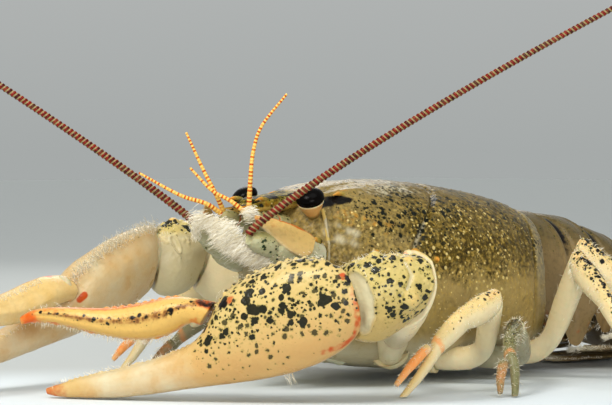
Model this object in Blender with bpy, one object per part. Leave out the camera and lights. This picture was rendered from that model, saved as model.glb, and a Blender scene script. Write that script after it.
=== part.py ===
"""A freshwater crayfish, life size, as a still museum model standing low on its legs.

The animal's own frame: its head points along -Y, its left side is +X and up is +Z.
Named sizes are in millimetres in that frame, and MM turns them into metres when a mesh is
made. At the end the whole animal is moved so that the middle of the underside of its box
is the origin.
"""

import math

import bmesh
import bpy
from mathutils import Matrix, Vector

MM = 0.001
GAP = 0.3
HALF_GAP = GAP / 2

# Carapace and thorax: lengths run along Y
HEAD_FRONT = -18.0
GROOVE_AT = 4.0
SHELL_REAR = 21.0
GROOVE_SWEEP = 10.5
REAR_SWEEP = 3.5
GROOVE_DEPTH = 0.45
BODY_SIDES = 32

# Rostrum: a trough between two raised margins that end in spines
ROSTRUM_TIP = -25.0
ROSTRUM_SPINE_AT = -21.6
ROSTRUM_BASE_HALF = 3.5
ROSTRUM_HEIGHT = 22.9

# Eyes
EYE_CENTRE = Vector((5.5, -17.0, 21.85))
EYE_RADIUS = 1.55
STALK_ROOT = Vector((4.3, -15.3, 18.6))
STALK_RADIUS = 1.25
ORBIT_OFFSET = Vector((0.5, -0.9, -0.4))
ORBIT_RADII = (2.25, 2.4, 2.7)

# Feelers
FLAGELLUM_LENGTH = 96.0
FEELER_BOW = {1: 2.1, -1: 1.1}
FEELER_SAG = 2.4
FLAGELLUM_ROOT_RADIUS = 0.46
FLAGELLUM_TIP_RADIUS = 0.2

# Claws, measured along the hand from the wrist
WRIST_SLANT = math.radians(38)
HAND_BREADTH = {1: 1.0, -1: 0.88}
HINGE_SLOPE = 0.8
HAND_LENGTH = 35.4

SIDES = ((1, "left"), (-1, "right"))
FINE_SIDES = 16
LIMB_SIDES = 12
FEELER_SIDES = 6
LEAN_REACH = 3.4

# Colours of the pieces, and of shapes that only join or cut them
SHELL_COLOUR = (0.42, 0.36, 0.14)
TAIL_COLOUR = (0.36, 0.30, 0.15)
FAN_COLOUR = (0.50, 0.42, 0.24)
PALM_COLOUR = (0.78, 0.66, 0.36)
FINGER_COLOUR = (0.80, 0.55, 0.25)
ARM_COLOUR = (0.82, 0.74, 0.55)
LEG_COLOUR = (0.80, 0.70, 0.52)
LEG_TIP_COLOUR = (0.85, 0.45, 0.15)
FEELER_COLOUR = (0.50, 0.14, 0.05)
FEELER_BASE_COLOUR = (0.55, 0.48, 0.28)
ANTENNULE_COLOUR = (0.75, 0.62, 0.35)
SCALE_COLOUR = (0.62, 0.50, 0.26)
MOUTH_COLOUR = (0.45, 0.44, 0.32)
EYE_COLOUR = (0.01, 0.01, 0.01)
STALK_COLOUR = (0.72, 0.55, 0.38)
SPARE_COLOUR = (0.5, 0.5, 0.5)
EYE_ROUGHNESS = 0.1


def lerp(a, b, t):
    return a + (b - a) * t


def smooth_table(rows, x):
    """Read a table of (x, value, value, ...) rows as smooth curves, at x."""
    if x <= rows[0][0]:
        return rows[0][1:]
    if x >= rows[-1][0]:
        return rows[-1][1:]
    k = max(i for i in range(len(rows) - 1) if rows[i][0] <= x)
    low, high = rows[k], rows[k + 1]
    before = rows[max(k - 1, 0)]
    after = rows[min(k + 2, len(rows) - 1)]
    span = high[0] - low[0]
    t = (x - low[0]) / span
    out = []
    for j in range(1, len(low)):
        slope_low = (high[j] - before[j]) / (high[0] - before[0]) * span
        slope_high = (after[j] - low[j]) / (after[0] - low[0]) * span
        out.append(low[j] * (2 * t**3 - 3 * t**2 + 1) + slope_low * (t**3 - 2 * t**2 + t)
                   + high[j] * (3 * t**2 - 2 * t**3) + slope_high * (t**3 - t**2))
    return tuple(out)


def power(value, exponent):
    """A signed power, for the outlines of squared ellipses."""
    return math.copysign(abs(value) ** exponent, value)


def mirrored(point, side):
    """A point of the left side, or its image on the right side where side is -1."""
    return Vector((point[0] * side, point[1], point[2]))


def closed_mesh(rings):
    """Skin a row of equal rings and close both ends with a fan round their middles."""
    bm = bmesh.new()
    rows = [[bm.verts.new(p) for p in ring] for ring in rings]
    count = len(rows[0])
    for low, high in zip(rows, rows[1:]):
        for j in range(count):
            k = (j + 1) % count
            bm.faces.new((low[j], low[k], high[k], high[j]))
    for row in (rows[0], rows[-1]):
        centre = bm.verts.new(sum((v.co for v in row), Vector()) / count)
        for j in range(count):
            bm.faces.new((row[j], row[(j + 1) % count], centre))
    bmesh.ops.recalc_face_normals(bm, faces=bm.faces)
    return bm


def make_material(name, colour, roughness=0.45):
    material = bpy.data.materials.new(name)
    material.use_nodes = True
    shader = material.node_tree.nodes["Principled BSDF"]
    shader.inputs["Base Color"].default_value = (*colour, 1)
    shader.inputs["Roughness"].default_value = roughness
    shader.inputs["Metallic"].default_value = 0.0
    return material


def add_object(name, bm, colour, roughness=0.45):
    mesh = bpy.data.meshes.new(name)
    bm.to_mesh(mesh)
    bm.free()
    mesh.transform(Matrix.Scale(MM, 4))
    mesh.shade_smooth()
    mesh.set_sharp_from_angle(angle=math.radians(40))
    obj = bpy.data.objects.new(name, mesh)
    obj.data.materials.append(make_material(name + "_finish", colour, roughness))
    bpy.context.scene.collection.objects.link(obj)
    return obj


def boolean(obj, others, operation):
    """Join or cut obj with other objects, which are then removed."""
    tools = bpy.data.collections.new("tools")
    for other in others:
        tools.objects.link(other)
    modifier = obj.modifiers.new(operation, "BOOLEAN")
    modifier.operation = operation
    modifier.operand_type = "COLLECTION"
    modifier.collection = tools
    # The exact solver leaves edges with three faces where spines cross the shell's rings
    modifier.solver = "MANIFOLD"
    graph = bpy.context.evaluated_depsgraph_get()
    mesh = bpy.data.meshes.new_from_object(obj.evaluated_get(graph))
    obj.modifiers.clear()
    material = obj.data.materials[0]
    obj.data = mesh
    mesh.materials.clear()
    mesh.materials.append(material)
    for polygon in mesh.polygons:
        polygon.material_index = 0
    for other in others:
        bpy.data.objects.remove(other)
    bpy.data.collections.remove(tools)
    keep_largest(mesh)
    return obj


def keep_largest(mesh):
    """Drop every loose scrap, so that the mesh is one closed surface."""
    bm = bmesh.new()
    bm.from_mesh(mesh)
    bmesh.ops.triangulate(bm, faces=bm.faces)
    left = set(bm.verts)
    groups = []
    while left:
        group = {left.pop()}
        front = list(group)
        while front:
            vert = front.pop()
            for edge in vert.link_edges:
                other = edge.other_vert(vert)
                if other in left:
                    left.remove(other)
                    group.add(other)
                    front.append(other)
        groups.append(group)
    groups.sort(key=len)
    for group in groups[:-1]:
        bmesh.ops.delete(bm, geom=list(group), context="VERTS")
    bm.to_mesh(mesh)
    bm.free()
    mesh.shade_smooth()
    mesh.set_sharp_from_angle(angle=math.radians(40))


def frame_along(direction, up):
    """Two axes across a direction: the first as near to up as it can be."""
    direction = direction.normalized()
    first = (up - direction * up.dot(direction)).normalized()
    return first, direction.cross(first)


def onto_plane(point, direction, plane):
    """Slide a point along a direction until it meets a plane given as (point, normal)."""
    origin, normal = plane
    return point + direction * ((origin - point).dot(normal) / direction.dot(normal))


def leaned(ring, centre, direction, plane, distance, reach):
    """Lean a ring towards a joint's plane: fully at the joint, and less with distance."""
    share = max(0.0, 1 - distance / reach)
    if distance == 0:
        return [onto_plane(p, direction, plane) for p in ring]
    slide = onto_plane(centre, direction, plane) - centre
    return [p + (onto_plane(p, direction, plane) - p - slide) * share for p in ring]


def tube_rings(points, sizes, up, sides, start=None, end=None, grow=0.0):
    """Rings round a line of points. Each size is (half height, half width).

    An end with a plane is cut by it, and an end without one is moved out by grow.
    """
    points = [p.copy() for p in points]
    if grow and not start:
        points[0] += (points[0] - points[1]).normalized() * grow
    if grow and not end:
        points[-1] += (points[-1] - points[-2]).normalized() * grow
    rings = []
    for k, centre in enumerate(points):
        before = points[max(k - 1, 0)]
        after = points[min(k + 1, len(points) - 1)]
        direction = (after - before).normalized()
        first, second = frame_along(direction, up)
        tall, wide = sizes[k][0] + grow, sizes[k][1] + grow
        ring = []
        for j in range(sides):
            angle = math.tau * (j + 0.5) / sides
            ring.append(centre + first * tall * math.cos(angle) + second * wide * math.sin(angle))
        reach = LEAN_REACH * max(tall, wide)
        from_start = (centre - points[0]).length
        from_end = (centre - points[-1]).length
        length = from_start + from_end
        if start:
            ring = leaned(ring, centre, direction, start, from_start, min(reach, length))
        if end:
            ring = leaned(ring, centre, direction, end, from_end, min(reach, length))
        rings.append(ring)
    return rings


def spine(base, tip, radius, sides=6):
    """A cone from a sunk base to a blunt tip."""
    direction = tip - base
    up = Vector((0.3, 0.2, 1))
    points = [base, base + direction * 0.6, tip]
    sizes = [(radius, radius), (radius * 0.55, radius * 0.55), (radius * 0.12, radius * 0.12)]
    return closed_mesh(tube_rings(points, sizes, up, sides))


def mitre(before, joint, after):
    """The plane that two lengths of a limb share at a joint, facing along the limb."""
    normal = ((joint - before).normalized() + (after - joint).normalized()).normalized()
    return joint, normal


def shifted(plane, distance):
    return plane[0] + plane[1] * distance, plane[1]


# Thorax sections: Y, half width, top, level of the widest place, bottom
BODY_ROWS = [
    (-18.0, 4.6, 18.4, 13.6, 8.6),
    (-16.6, 6.9, 21.2, 13.4, 5.6),
    (-15.0, 8.1, 22.6, 13.0, 4.0),
    (-12.0, 9.6, 23.3, 12.4, 2.8),
    (-7.0, 11.0, 23.7, 11.8, 2.0),
    (0.0, 12.0, 23.7, 11.0, 1.1),
    (8.0, 12.4, 22.9, 10.6, 1.0),
    (15.0, 11.7, 21.8, 10.4, 1.4),
    (19.0, 10.7, 20.8, 10.4, 2.4),
    (21.0, 9.9, 20.0, 10.4, 3.6),
]
BODY_STATIONS = [-18.0, -17.4, -16.6, -15.0, -12.4, -9.6, -6.8, -4.0, -1.2, 1.4, 3.1,
                 GROOVE_AT, 4.9, 7.4, 10.2, 13.0, 15.8, 18.4, 20.2, SHELL_REAR]


def body_sweep(station):
    """How far forward the flank of a ring lies from its crest."""
    return smooth_table([(HEAD_FRONT, 0.0), (-8.0, 6.0), (GROOVE_AT, GROOVE_SWEEP),
                         (13.0, 6.2), (SHELL_REAR, REAR_SWEEP)], station)[0]


def body_point(station, angle, inset=0.0):
    """A point of the shell: angle 90 degrees is the crest, 0 the left flank, -90 the belly."""
    across = math.cos(angle)
    rise = math.sin(angle)
    y = station - body_sweep(station) * abs(across) ** 2.4
    half, top, wide_level, bottom = smooth_table(BODY_ROWS, y)
    reach = top - wide_level if rise > 0 else wide_level - bottom
    x = (half - inset) * power(across, 0.86 if rise > 0 else 0.7)
    z = wide_level + (reach - inset) * power(rise, 0.92 if rise > 0 else 0.78)
    return Vector((x, y, z))


def body_rings():
    rings = []
    for station in BODY_STATIONS:
        ring = []
        for j in range(BODY_SIDES):
            angle = math.tau * (j + 0.5) / BODY_SIDES
            fade = 1.0 if math.sin(angle) > -0.5 else 0.0
            inset = GROOVE_DEPTH * fade if station == GROOVE_AT else 0.0
            ring.append(body_point(station, angle, inset))
        rings.append(ring)
    return rings


def rostrum_rings():
    """Rings of nine points: five over the trough and four under it."""
    rings = []
    for y, half, level in ((-11.0, 3.4, 22.6), (-14.0, ROSTRUM_BASE_HALF, ROSTRUM_HEIGHT),
                           (-17.0, 3.0, 22.7), (-19.5, 2.7, 22.2), (ROSTRUM_SPINE_AT, 2.4, 21.8),
                           (-22.3, 1.25, 21.7), (ROSTRUM_TIP, 0.25, 21.4)):
        dip = 0.35 * half
        thick = 0.9 if half > 1 else 0.4
        ring = [(half, 0.1), (half * 0.8, 0.35), (half * 0.35, 0.35 - dip), (0, 0.35 - dip * 1.2),
                (-half * 0.35, 0.35 - dip), (-half * 0.8, 0.35), (-half, 0.1),
                (-half * 0.6, -thick), (half * 0.6, -thick)]
        rings.append([Vector((x, y, level + z)) for x, z in ring])
    return rings


# Abdomen: the planes between its rings of shell, each as crest (Y, Z) and belly (Y, Z)
CREST = [(18.9, 19.4), (24.6, 19.7), (30.4, 18.9), (36.2, 16.9), (43.2, 13.6), (46.0, 7.2),
         (44.4, 0.95)]
BELLY = [(17.2, 8.4), (24.0, 7.4), (30.2, 7.6), (35.8, 9.2), (38.4, 8.6), (39.2, 6.7), (38.5, 4.9)]
ABDOMEN_HALF = [8.8, 9.3, 9.6, 9.4, 8.9, 8.2, 7.0]
PLEURON = [1.5, 4.6, 4.0, 2.6, 2.2, 1.8]
SEGMENT_STEPS = (0.0, 0.14, 0.4, 0.66, 0.88, 1.0)
PADDLED_RINGS = (1, 2)


def abdomen_section(crest, belly, half, pleuron, shrink, grow):
    """One closed section of the tail: an arch, two hanging flaps and a flat belly."""
    shrink -= grow
    rise = crest - belly
    height = rise.length
    up = rise.normalized()
    outline = []
    arch = 15
    for j in range(arch):
        angle = math.pi * j / (arch - 1)
        x = (half - shrink) * power(math.cos(angle), 0.8)
        level = 0.3 * height + (0.7 * height - shrink) * power(math.sin(angle), 0.95)
        outline.append((x, level))
    flap = half - shrink
    inner = flap - 2 * grow
    notch = 0.1 * height * min(1.0, pleuron / 1.5) - grow
    left = [(flap * 0.98, 0.12 * height), (flap - 0.3, -pleuron * 0.55 - grow),
            (flap - 0.75, -pleuron - grow), (inner - 1.1, -pleuron * 0.5 - grow), (inner - 1.4, notch)]
    side_level = 0.03 * height - grow
    belly_line = [(half * 0.5, side_level), (0.0, -grow), (-half * 0.5, side_level)]
    right = [(-x, level) for x, level in left]
    # The arch runs from the left side over to the right, then the flaps and belly close it
    outline += right + belly_line[::-1] + left[::-1]
    return [belly + up * level + Vector((x, 0, 0)) for x, level in outline]


def abdomen_rings(k, grow=0.0):
    crest_a, crest_b = (Vector((0, *CREST[i])) for i in (k, k + 1))
    belly_a, belly_b = (Vector((0, *BELLY[i])) for i in (k, k + 1))
    length = (crest_b - crest_a).length
    rings = []
    for t in SEGMENT_STEPS:
        crest = crest_a.lerp(crest_b, t)
        belly = belly_a.lerp(belly_b, t)
        half = lerp(ABDOMEN_HALF[k], ABDOMEN_HALF[k + 1], t)
        swell = math.sin(math.pi * min(max((t - 0.1) / 1.1, 0.0), 1.0))
        shrink = 0.55 * (1 - swell) * (1 - 0.5 * t)
        flap = PLEURON[k] * max(0.0, math.sin(math.pi * t ** 0.8)) ** 1.4
        rings.append(abdomen_section(crest, belly, half, flap + 0.1, shrink, grow))
    # The end rings stand half a gap inside the shared planes
    ends = ((rings[0], crest_a, belly_a, 1), (rings[-1], crest_b, belly_b, -1))
    for ring, plane_crest, plane_belly, sign in ends:
        up = (plane_crest - plane_belly).normalized()
        normal = Vector((1, 0, 0)).cross(up).normalized()
        middle = (crest_b + belly_b) / 2 - (crest_a + belly_a) / 2
        if normal.dot(middle) < 0:
            normal = -normal
        for p in ring:
            p += normal * sign * (HALF_GAP - grow)
    return rings


def plate_rings(root, direction, across, stations, thickness):
    """A leaf of shell: stations are (distance, one edge, other edge) from its root."""
    direction = direction.normalized()
    across = (across - direction * across.dot(direction)).normalized()
    normal = direction.cross(across)
    rings = []
    for distance, low, high in stations:
        half = (high - low) / 2
        centre = root + direction * distance + across * (low + high) / 2
        ring = []
        for j in range(LIMB_SIDES):
            angle = math.tau * (j + 0.5) / LIMB_SIDES
            thick = thickness / 2 * min(1.0, half / 0.8)
            ring.append(centre + across * half * power(math.cos(angle), 0.8)
                        + normal * thick * power(math.sin(angle), 0.7))
        rings.append(ring)
    return rings


# The hand's outline: distance from the wrist, lower edge, upper edge, half thickness
PALM_ROWS = [
    (0.0, -3.4, 4.6, 2.6), (1.5, -4.4, 5.9, 3.0), (4.2, -5.2, 6.6, 3.3), (7.5, -5.5, 6.5, 3.4),
    (10.8, -5.3, 5.9, 3.3), (13.2, -5.0, 5.0, 3.1), (15.2, -4.7, 2.7, 2.8), (17.0, -4.4, 0.9, 2.5),
    (20.0, -4.0, 0.2, 2.1), (23.4, -3.6, 0.0, 1.9), (27.1, -3.1, 0.1, 1.6), (30.4, -2.3, 0.3, 1.3),
    (33.2, -1.5, 0.3, 0.9), (34.9, -0.9, 0.3, 0.55), (35.8, -0.4, 0.2, 0.25),
]
DACTYL_ROWS = [
    (17.8, 3.0, 6.0, 2.0), (19.6, 2.2, 6.3, 2.1), (22.9, 2.3, 6.4, 2.0), (26.2, 3.5, 6.8, 1.7),
    (29.5, 5.2, 7.8, 1.4), (32.5, 6.9, 8.7, 1.1), (35.0, 7.8, 9.1, 0.75), (36.5, 7.8, 8.6, 0.35),
]
HINGE_FOOT = (17.7, 1.35)
HINGE_ROW = (16.4, 2.3, 5.6, 1.9)
HINGE_LEAN = 0.6
HAND_STRETCH = HAND_LENGTH / PALM_ROWS[-1][0]


class Hand:
    """One hand's own axes: along it from the wrist, across it to the thumb side, and outwards."""

    def __init__(self, wrist, tip, up, side):
        self.wrist = wrist
        self.along = (tip - wrist).normalized()
        self.across, _ = frame_along(self.along, up)
        self.outward = self.across.cross(self.along) * side
        self.breadth = HAND_BREADTH[side]

    def place(self, x, y, z):
        return (self.wrist + self.along * (x * HAND_STRETCH) + self.across * (y * self.breadth)
                + self.outward * z)

    def wrist_plane(self):
        normal = (self.along + self.outward * math.tan(WRIST_SLANT)).normalized()
        return self.wrist, normal

    def ring(self, row, grow=0.0):
        x, low, high, thick = row
        lean = -math.tan(WRIST_SLANT) * max(0.0, 1 - x / 11.0)
        ring = []
        for j in range(FINE_SIDES):
            angle = math.tau * (j + 0.5) / FINE_SIDES
            y = (low + high) / 2 + ((high - low) / 2 + grow) * power(math.cos(angle), 0.88)
            z = (thick + grow) * power(math.sin(angle), 0.88)
            ring.append(self.place(x + lean * z, y, z))
        return ring


def hand_objects(side_name, hand):
    palm_rings = [hand.ring(row) for row in PALM_ROWS]
    wrist = shifted(hand.wrist_plane(), HALF_GAP)
    palm_rings[0] = [onto_plane(p, hand.along, wrist) for p in palm_rings[0]]
    # What would reach past the floor is pressed flat on it
    for ring in palm_rings:
        for p in ring:
            p.z = max(p.z, 0.0)
    add_object("claw_palm_" + side_name, closed_mesh(palm_rings), PALM_COLOUR)
    rings = [hand.ring(row) for row in DACTYL_ROWS]
    # The finger's root faces the palm along the slanted line of the hinge
    line = (hand.place(HINGE_FOOT[0], HINGE_FOOT[1], 0),
            (hand.along * HINGE_SLOPE + hand.across).normalized())
    hinge_way = (hand.along + hand.across * HINGE_LEAN).normalized()
    root = [onto_plane(p, hinge_way, line) for p in hand.ring(HINGE_ROW)]
    add_object("claw_finger_" + side_name, closed_mesh([root] + rings), FINGER_COLOUR)


# Walking legs of the left side: coxa, hip, knee, ankle, finger root and tip
LEFT_LEGS = {
    "leg_2": ((7.6, 1.6, 2.6), (13.5, 3.4, 2.9), (19.5, -1.6, 9.8), (19.1, -6.2, 8.2),
              (18.7, -10.6, 5.0), (18.2, -14.9, 0.0)),
    "leg_3": ((7.8, 7.6, 2.6), (13.2, 11.2, 2.4), (18.3, 3.7, 6.5), (21.7, -1.0, 5.6),
              (24.0, -3.7, 3.7), (26.1, -5.3, 0.0)),
    "leg_4": ((8.2, 14.2, 2.6), (13.2, 15.4, 3.0), (21.9, 10.8, 13.8), (26.9, 9.5, 10.2),
              (32.3, 8.6, 4.6), (35.2, 8.2, 0.0)),
    "leg_5": ((6.6, 18.6, 3.4), (10.0, 20.2, 3.8), (19.5, 14.8, 15.0), (24.4, 17.2, 10.8),
              (29.2, 20.6, 4.7), (31.2, 22.4, 0.0)),
}

# The right legs: the front two reach further forward, and the back two match the left
RIGHT_LEGS = {
    "leg_2": ((-7.6, 1.6, 2.6), (-12.5, 1.4, 3.2), (-19.6, -7.0, 11.4), (-25.6, -10.4, 8.2),
              (-29.4, -12.8, 3.6), (-31.2, -14.0, 0.0)),
    "leg_3": ((-7.8, 7.6, 2.6), (-12.6, 8.6, 2.8), (-18.2, 1.4, 9.8), (-24.6, -3.6, 7.6),
              (-29.0, -7.2, 3.2), (-31.0, -9.0, 0.0)),
    "leg_4": tuple((-x, y, z) for x, y, z in LEFT_LEGS["leg_4"]),
    "leg_5": tuple((-x, y, z) for x, y, z in LEFT_LEGS["leg_5"]),
}
LEG_FLATNESS = 0.78
SLENDER = {"leg_3": 0.82}
# The way in which the moving finger opens
OPENING = {"leg_2": Vector((0, 0, 1)), "leg_3": Vector((-0.7, -0.6, 0.5))}
LEG_STUB_RADIUS = 1.65
ARM_STUB_RADIUS = 2.3
FINGER_SPREAD = 0.9


def coxa_plane(coxa, knee):
    return coxa, (knee - coxa).normalized()


def upper_leg_rings(coxa, hip, knee, ankle, grow=0.0):
    """Ischium, level from the coxa to the hip, and merus, up from there to the knee."""
    start = shifted(coxa_plane(coxa, hip), HALF_GAP - 2 * grow)
    end = shifted(mitre(hip, knee, ankle), -HALF_GAP + 2 * grow)
    points = [coxa.lerp(hip, s) for s in (0.0, 0.4, 0.75)] + [hip.lerp(knee, s) for s in (0.14, 0.35, 0.7, 1.0)]
    tall = (1.3, 1.45, 1.4, 1.35, 1.55, 1.7, 1.5)
    sizes = [(h, h * LEG_FLATNESS) for h in tall]
    return tube_rings(points, sizes, Vector((0, 0, 1)), LIMB_SIDES, start, end, grow)


def lower_leg(hip, knee, ankle, root, tip, opening, slender):
    """Carpus and propodus, with the fixed finger where the leg has a pincer."""
    start = shifted(mitre(hip, knee, ankle), HALF_GAP)
    bend = mitre(knee, ankle, root)
    up = Vector((0, 0, 1))
    points = [knee, knee.lerp(ankle, 0.35), knee.lerp(ankle, 0.7), ankle, ankle.lerp(root, 0.12),
              ankle.lerp(root, 0.5), root]
    tall = [h * slender for h in (1.55, 1.7, 1.55, 1.25, 1.35, 1.3, 1.0)]
    if opening is None:
        end = shifted((root, (tip - ankle).normalized()), -HALF_GAP)
        sizes = [(h, h * LEG_FLATNESS) for h in tall]
        return tube_rings(points, sizes, up, LIMB_SIDES, start, end)
    points[-1] = ankle.lerp(root, 0.86)
    floor = (Vector((tip.x, tip.y, 0)), Vector((0, 0, 1)))
    down = (tip - root).normalized()
    first, _ = frame_along(down, opening)
    offset = first * -0.45
    points += [root + offset, root.lerp(tip, 0.5) + offset * 0.9, tip + down * 0.2]
    sizes = [(h, h * LEG_FLATNESS) for h in tall] + [(0.66, 0.62), (0.55, 0.5), (0.34, 0.34)]
    return tube_rings(points, sizes, up, LIMB_SIDES, start, floor)


def leg_finger(ankle, root, tip, opening):
    """The last length of a leg: a simple claw, or the moving finger of a pincer."""
    up = Vector((0, 0, 1))
    down = (tip - root).normalized()
    if opening is None:
        start = shifted((root, (tip - ankle).normalized()), HALF_GAP)
        floor = (Vector((tip.x, tip.y, 0)), Vector((0, 0, 1)))
        points = [root, root.lerp(tip, 0.3), root.lerp(tip, 0.7), tip]
        sizes = [(0.88, 0.68), (0.8, 0.6), (0.55, 0.45), (0.3, 0.3)]
        return tube_rings(points, sizes, up, LIMB_SIDES, start, floor)
    first, _ = frame_along(down, opening)
    offset = first * 0.75
    spread = first * FINGER_SPREAD
    points = [root + offset + down * 0.3, root.lerp(tip, 0.25) + offset + spread * 0.35,
              root.lerp(tip, 0.6) + offset + spread * 0.8, root.lerp(tip, 0.95) + offset + spread]
    sizes = [(0.45, 0.52), (0.56, 0.58), (0.46, 0.48), (0.25, 0.25)]
    return tube_rings(points, sizes, up, LIMB_SIDES)


# Arms that carry the claws: coxa, end of the merus, wrist and tip of the fixed finger
ARMS = {
    1: (Vector((7.0, -5.6, 4.2)), Vector((23.1, -19.2, 12.4)), Vector((19.0, -24.5, 10.5)),
        Vector((-8.2, -42.2, 1.1)), Vector((0, 0, 1))),
    -1: (Vector((-7.0, -5.6, 4.2)), Vector((-17.4, -12.6, 14.4)), Vector((-18.9, -19.4, 14.2)),
         Vector((-18.4, -52.0, 2.6)), Vector((0.55, 0, 0.84))),
}


def arm_rings(coxa, elbow, wrist, grow=0.0):
    """Ischium and merus of a claw's arm, three-sided and deepest near the elbow."""
    start = shifted(coxa_plane(coxa, elbow), HALF_GAP - 2 * grow)
    end = shifted(mitre(coxa, elbow, wrist), -HALF_GAP + 2 * grow)
    points = [coxa.lerp(elbow, s) for s in (0.0, 0.15, 0.32, 0.38, 0.6, 0.8, 1.0)]
    sizes = [(2.1, 1.6), (2.3, 1.8), (2.2, 1.7), (2.5, 1.9), (3.3, 2.3), (4.0, 2.7), (4.0, 2.8)]
    return tube_rings(points, sizes, Vector((0, 0, 1)), FINE_SIDES, start, end, grow)


def wrist_block_rings(coxa, elbow, hand):
    """The carpus: a stout knuckle between the elbow and the slanted wrist."""
    start = shifted(mitre(coxa, elbow, hand.wrist), HALF_GAP)
    end = shifted(hand.wrist_plane(), -HALF_GAP)
    points = [elbow.lerp(hand.wrist, s) for s in (0.0, 0.3, 0.55, 0.8, 1.0)]
    sizes = [(3.4, 2.7), (4.2, 3.5), (4.7, 4.0), (4.6, 3.7), (3.8, 3.0)]
    return tube_rings(points, sizes, Vector((0, 0, 1)), FINE_SIDES, start, end)


# Feelers, on the left: each long feeler's line is gently bowed
ANTENNA_ROOT = Vector((6.1, -17.4, 15.1))
FLAGELLA = {
    1: (Vector((5.5, -26.6, 17.9)), Vector((0.592, 0.613, 0.502))),
    -1: (Vector((-4.7, -25.6, 19.1)), Vector((-0.573, -0.596, 0.55))),
}
ANTENNULE_ROOT = Vector((1.7, -17.0, 18.6))
ANTENNULE_END = Vector((2.1, -23.8, 19.9))
SCALE_ROOT = Vector((8.4, -19.2, 16.9))
SCALE_TIP_FROM_FEELER = Vector((-0.3, 1.2, 1.5))
SCALE_THICKNESS = 0.7
# The blade stands on edge: distance from its root, lower edge and upper edge
SCALE_ACROSS = Vector((-0.35, 0.0, 0.9))
SCALE_ROWS = [(0.0, -0.9, 0.7), (1.0, -1.35, 1.0), (3.4, -1.5, 1.25), (5.4, -1.1, 1.1), (6.8, -0.35, 0.9),
              (7.8, 0.3, 0.72)]


def antenna_base_rings(side, grow=0.0):
    end = FLAGELLA[side][0] + Vector((-0.1 * side, 0.3, -0.5))
    root = mirrored(ANTENNA_ROOT, side)
    points = [root.lerp(end, s) for s in (-0.06, 0.1, 0.34, 0.38, 0.62, 0.66, 0.9, 1.0)]
    radii = (2.1, 2.2, 2.1, 1.75, 1.7, 1.4, 1.2, 0.7)
    sizes = [(r, r) for r in radii]
    return tube_rings(points, sizes, Vector((0, 0, 1)), LIMB_SIDES, grow=grow)


def scale_rings(side, grow=0.0):
    """The blade beside a feeler's base, with a straight outer edge that ends in a point."""
    rows = [(d, a - grow, b + grow) for d, a, b in SCALE_ROWS]
    root = mirrored(SCALE_ROOT, side)
    direction = FLAGELLA[side][0] + mirrored(SCALE_TIP_FROM_FEELER, side) - root
    root -= direction.normalized() * grow
    across = mirrored(SCALE_ACROSS, side)
    return plate_rings(root, direction, across, rows, SCALE_THICKNESS + 2 * grow)


def flagellum_rings(side, grow=0.0):
    root, direction = FLAGELLA[side]
    count = 24
    points = []
    sizes = []
    for k in range(count):
        t = k / (count - 1)
        sag = Vector((0, 0, FEELER_BOW[side] * math.sin(math.pi * t ** 0.6) - FEELER_SAG * t * t))
        points.append(root + direction * (GAP + FLAGELLUM_LENGTH * t) + sag)
        radius = lerp(FLAGELLUM_ROOT_RADIUS, FLAGELLUM_TIP_RADIUS, t ** 0.8)
        sizes.append((radius, radius))
    return tube_rings(points, sizes, Vector((0, 0, 1)), FEELER_SIDES, grow=grow)


# The two lashes of each antennule, as points after the end of its stalk
LASHES = {
    1: (((3.0, -23.9, 24.0), (3.2, -23.6, 27.3), (3.9, -22.9, 30.1), (5.8, -20.9, 33.6)),
        ((0.9, -24.9, 21.5), (-0.8, -26.4, 22.8), (-2.5, -28.1, 25.3))),
    -1: (((-2.7, -25.5, 21.2), (-4.9, -27.6, 22.2), (-8.0, -31.0, 24.7)),
         ((-1.9, -24.8, 22.4), (-2.9, -25.7, 25.0), (-4.3, -27.1, 29.3))),
}


def lash_rings(start, points):
    rows = [(0.0, *start)] + [(float(k + 1), *p) for k, p in enumerate(points)]
    count = 10
    line = []
    sizes = []
    for k in range(count):
        t = k / (count - 1)
        line.append(Vector(smooth_table(rows, t * len(points))))
        radius = lerp(0.34, 0.16, t)
        sizes.append((radius, radius))
    return tube_rings(line, sizes, Vector((0.2, 1, 0.1)), 6)


def antennule(side, name, grow=0.0):
    root = mirrored(ANTENNULE_ROOT, side)
    end = mirrored(ANTENNULE_END, side)
    points = [root.lerp(end, s) for s in (-0.05, 0.3, 0.34, 0.64, 0.68, 1.0)]
    sizes = [(r, r) for r in (1.2, 1.15, 1.0, 0.95, 0.85, 0.6)]
    stalk = closed_mesh(tube_rings(points, sizes, Vector((0, 0, 1)), LIMB_SIDES, grow=grow))
    obj = add_object(name, stalk, ANTENNULE_COLOUR)
    if grow:
        return obj
    parts = []
    for k, points in enumerate(LASHES[side]):
        start = root.lerp(end, 0.9 - 0.04 * k)
        parts.append(add_object(f"lash_{k}", closed_mesh(lash_rings(start, points)), SPARE_COLOUR))
    return boolean(obj, parts, "UNION")


def mouth_leg_rings(side, grow=0.0):
    """A third maxilliped, folded forward under the head."""
    line = [(3.0, -9.5, 3.4), (3.4, -12.5, 4.6), (3.5, -16.0, 6.8), (3.3, -19.2, 9.6),
            (2.9, -20.6, 9.2), (2.4, -20.9, 7.6), (2.1, -20.3, 5.9)]
    points = [mirrored(p, side) for p in line]
    sizes = [(1.3, 1.2), (1.45, 1.3), (1.5, 1.3), (1.2, 1.1), (0.95, 0.9), (0.75, 0.7), (0.45, 0.4)]
    return tube_rings(points, sizes, Vector((0, 0.6, 1)), LIMB_SIDES, grow=grow)


def eye_axis(side):
    return (mirrored(EYE_CENTRE, side) - mirrored(STALK_ROOT, side)).normalized()


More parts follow.
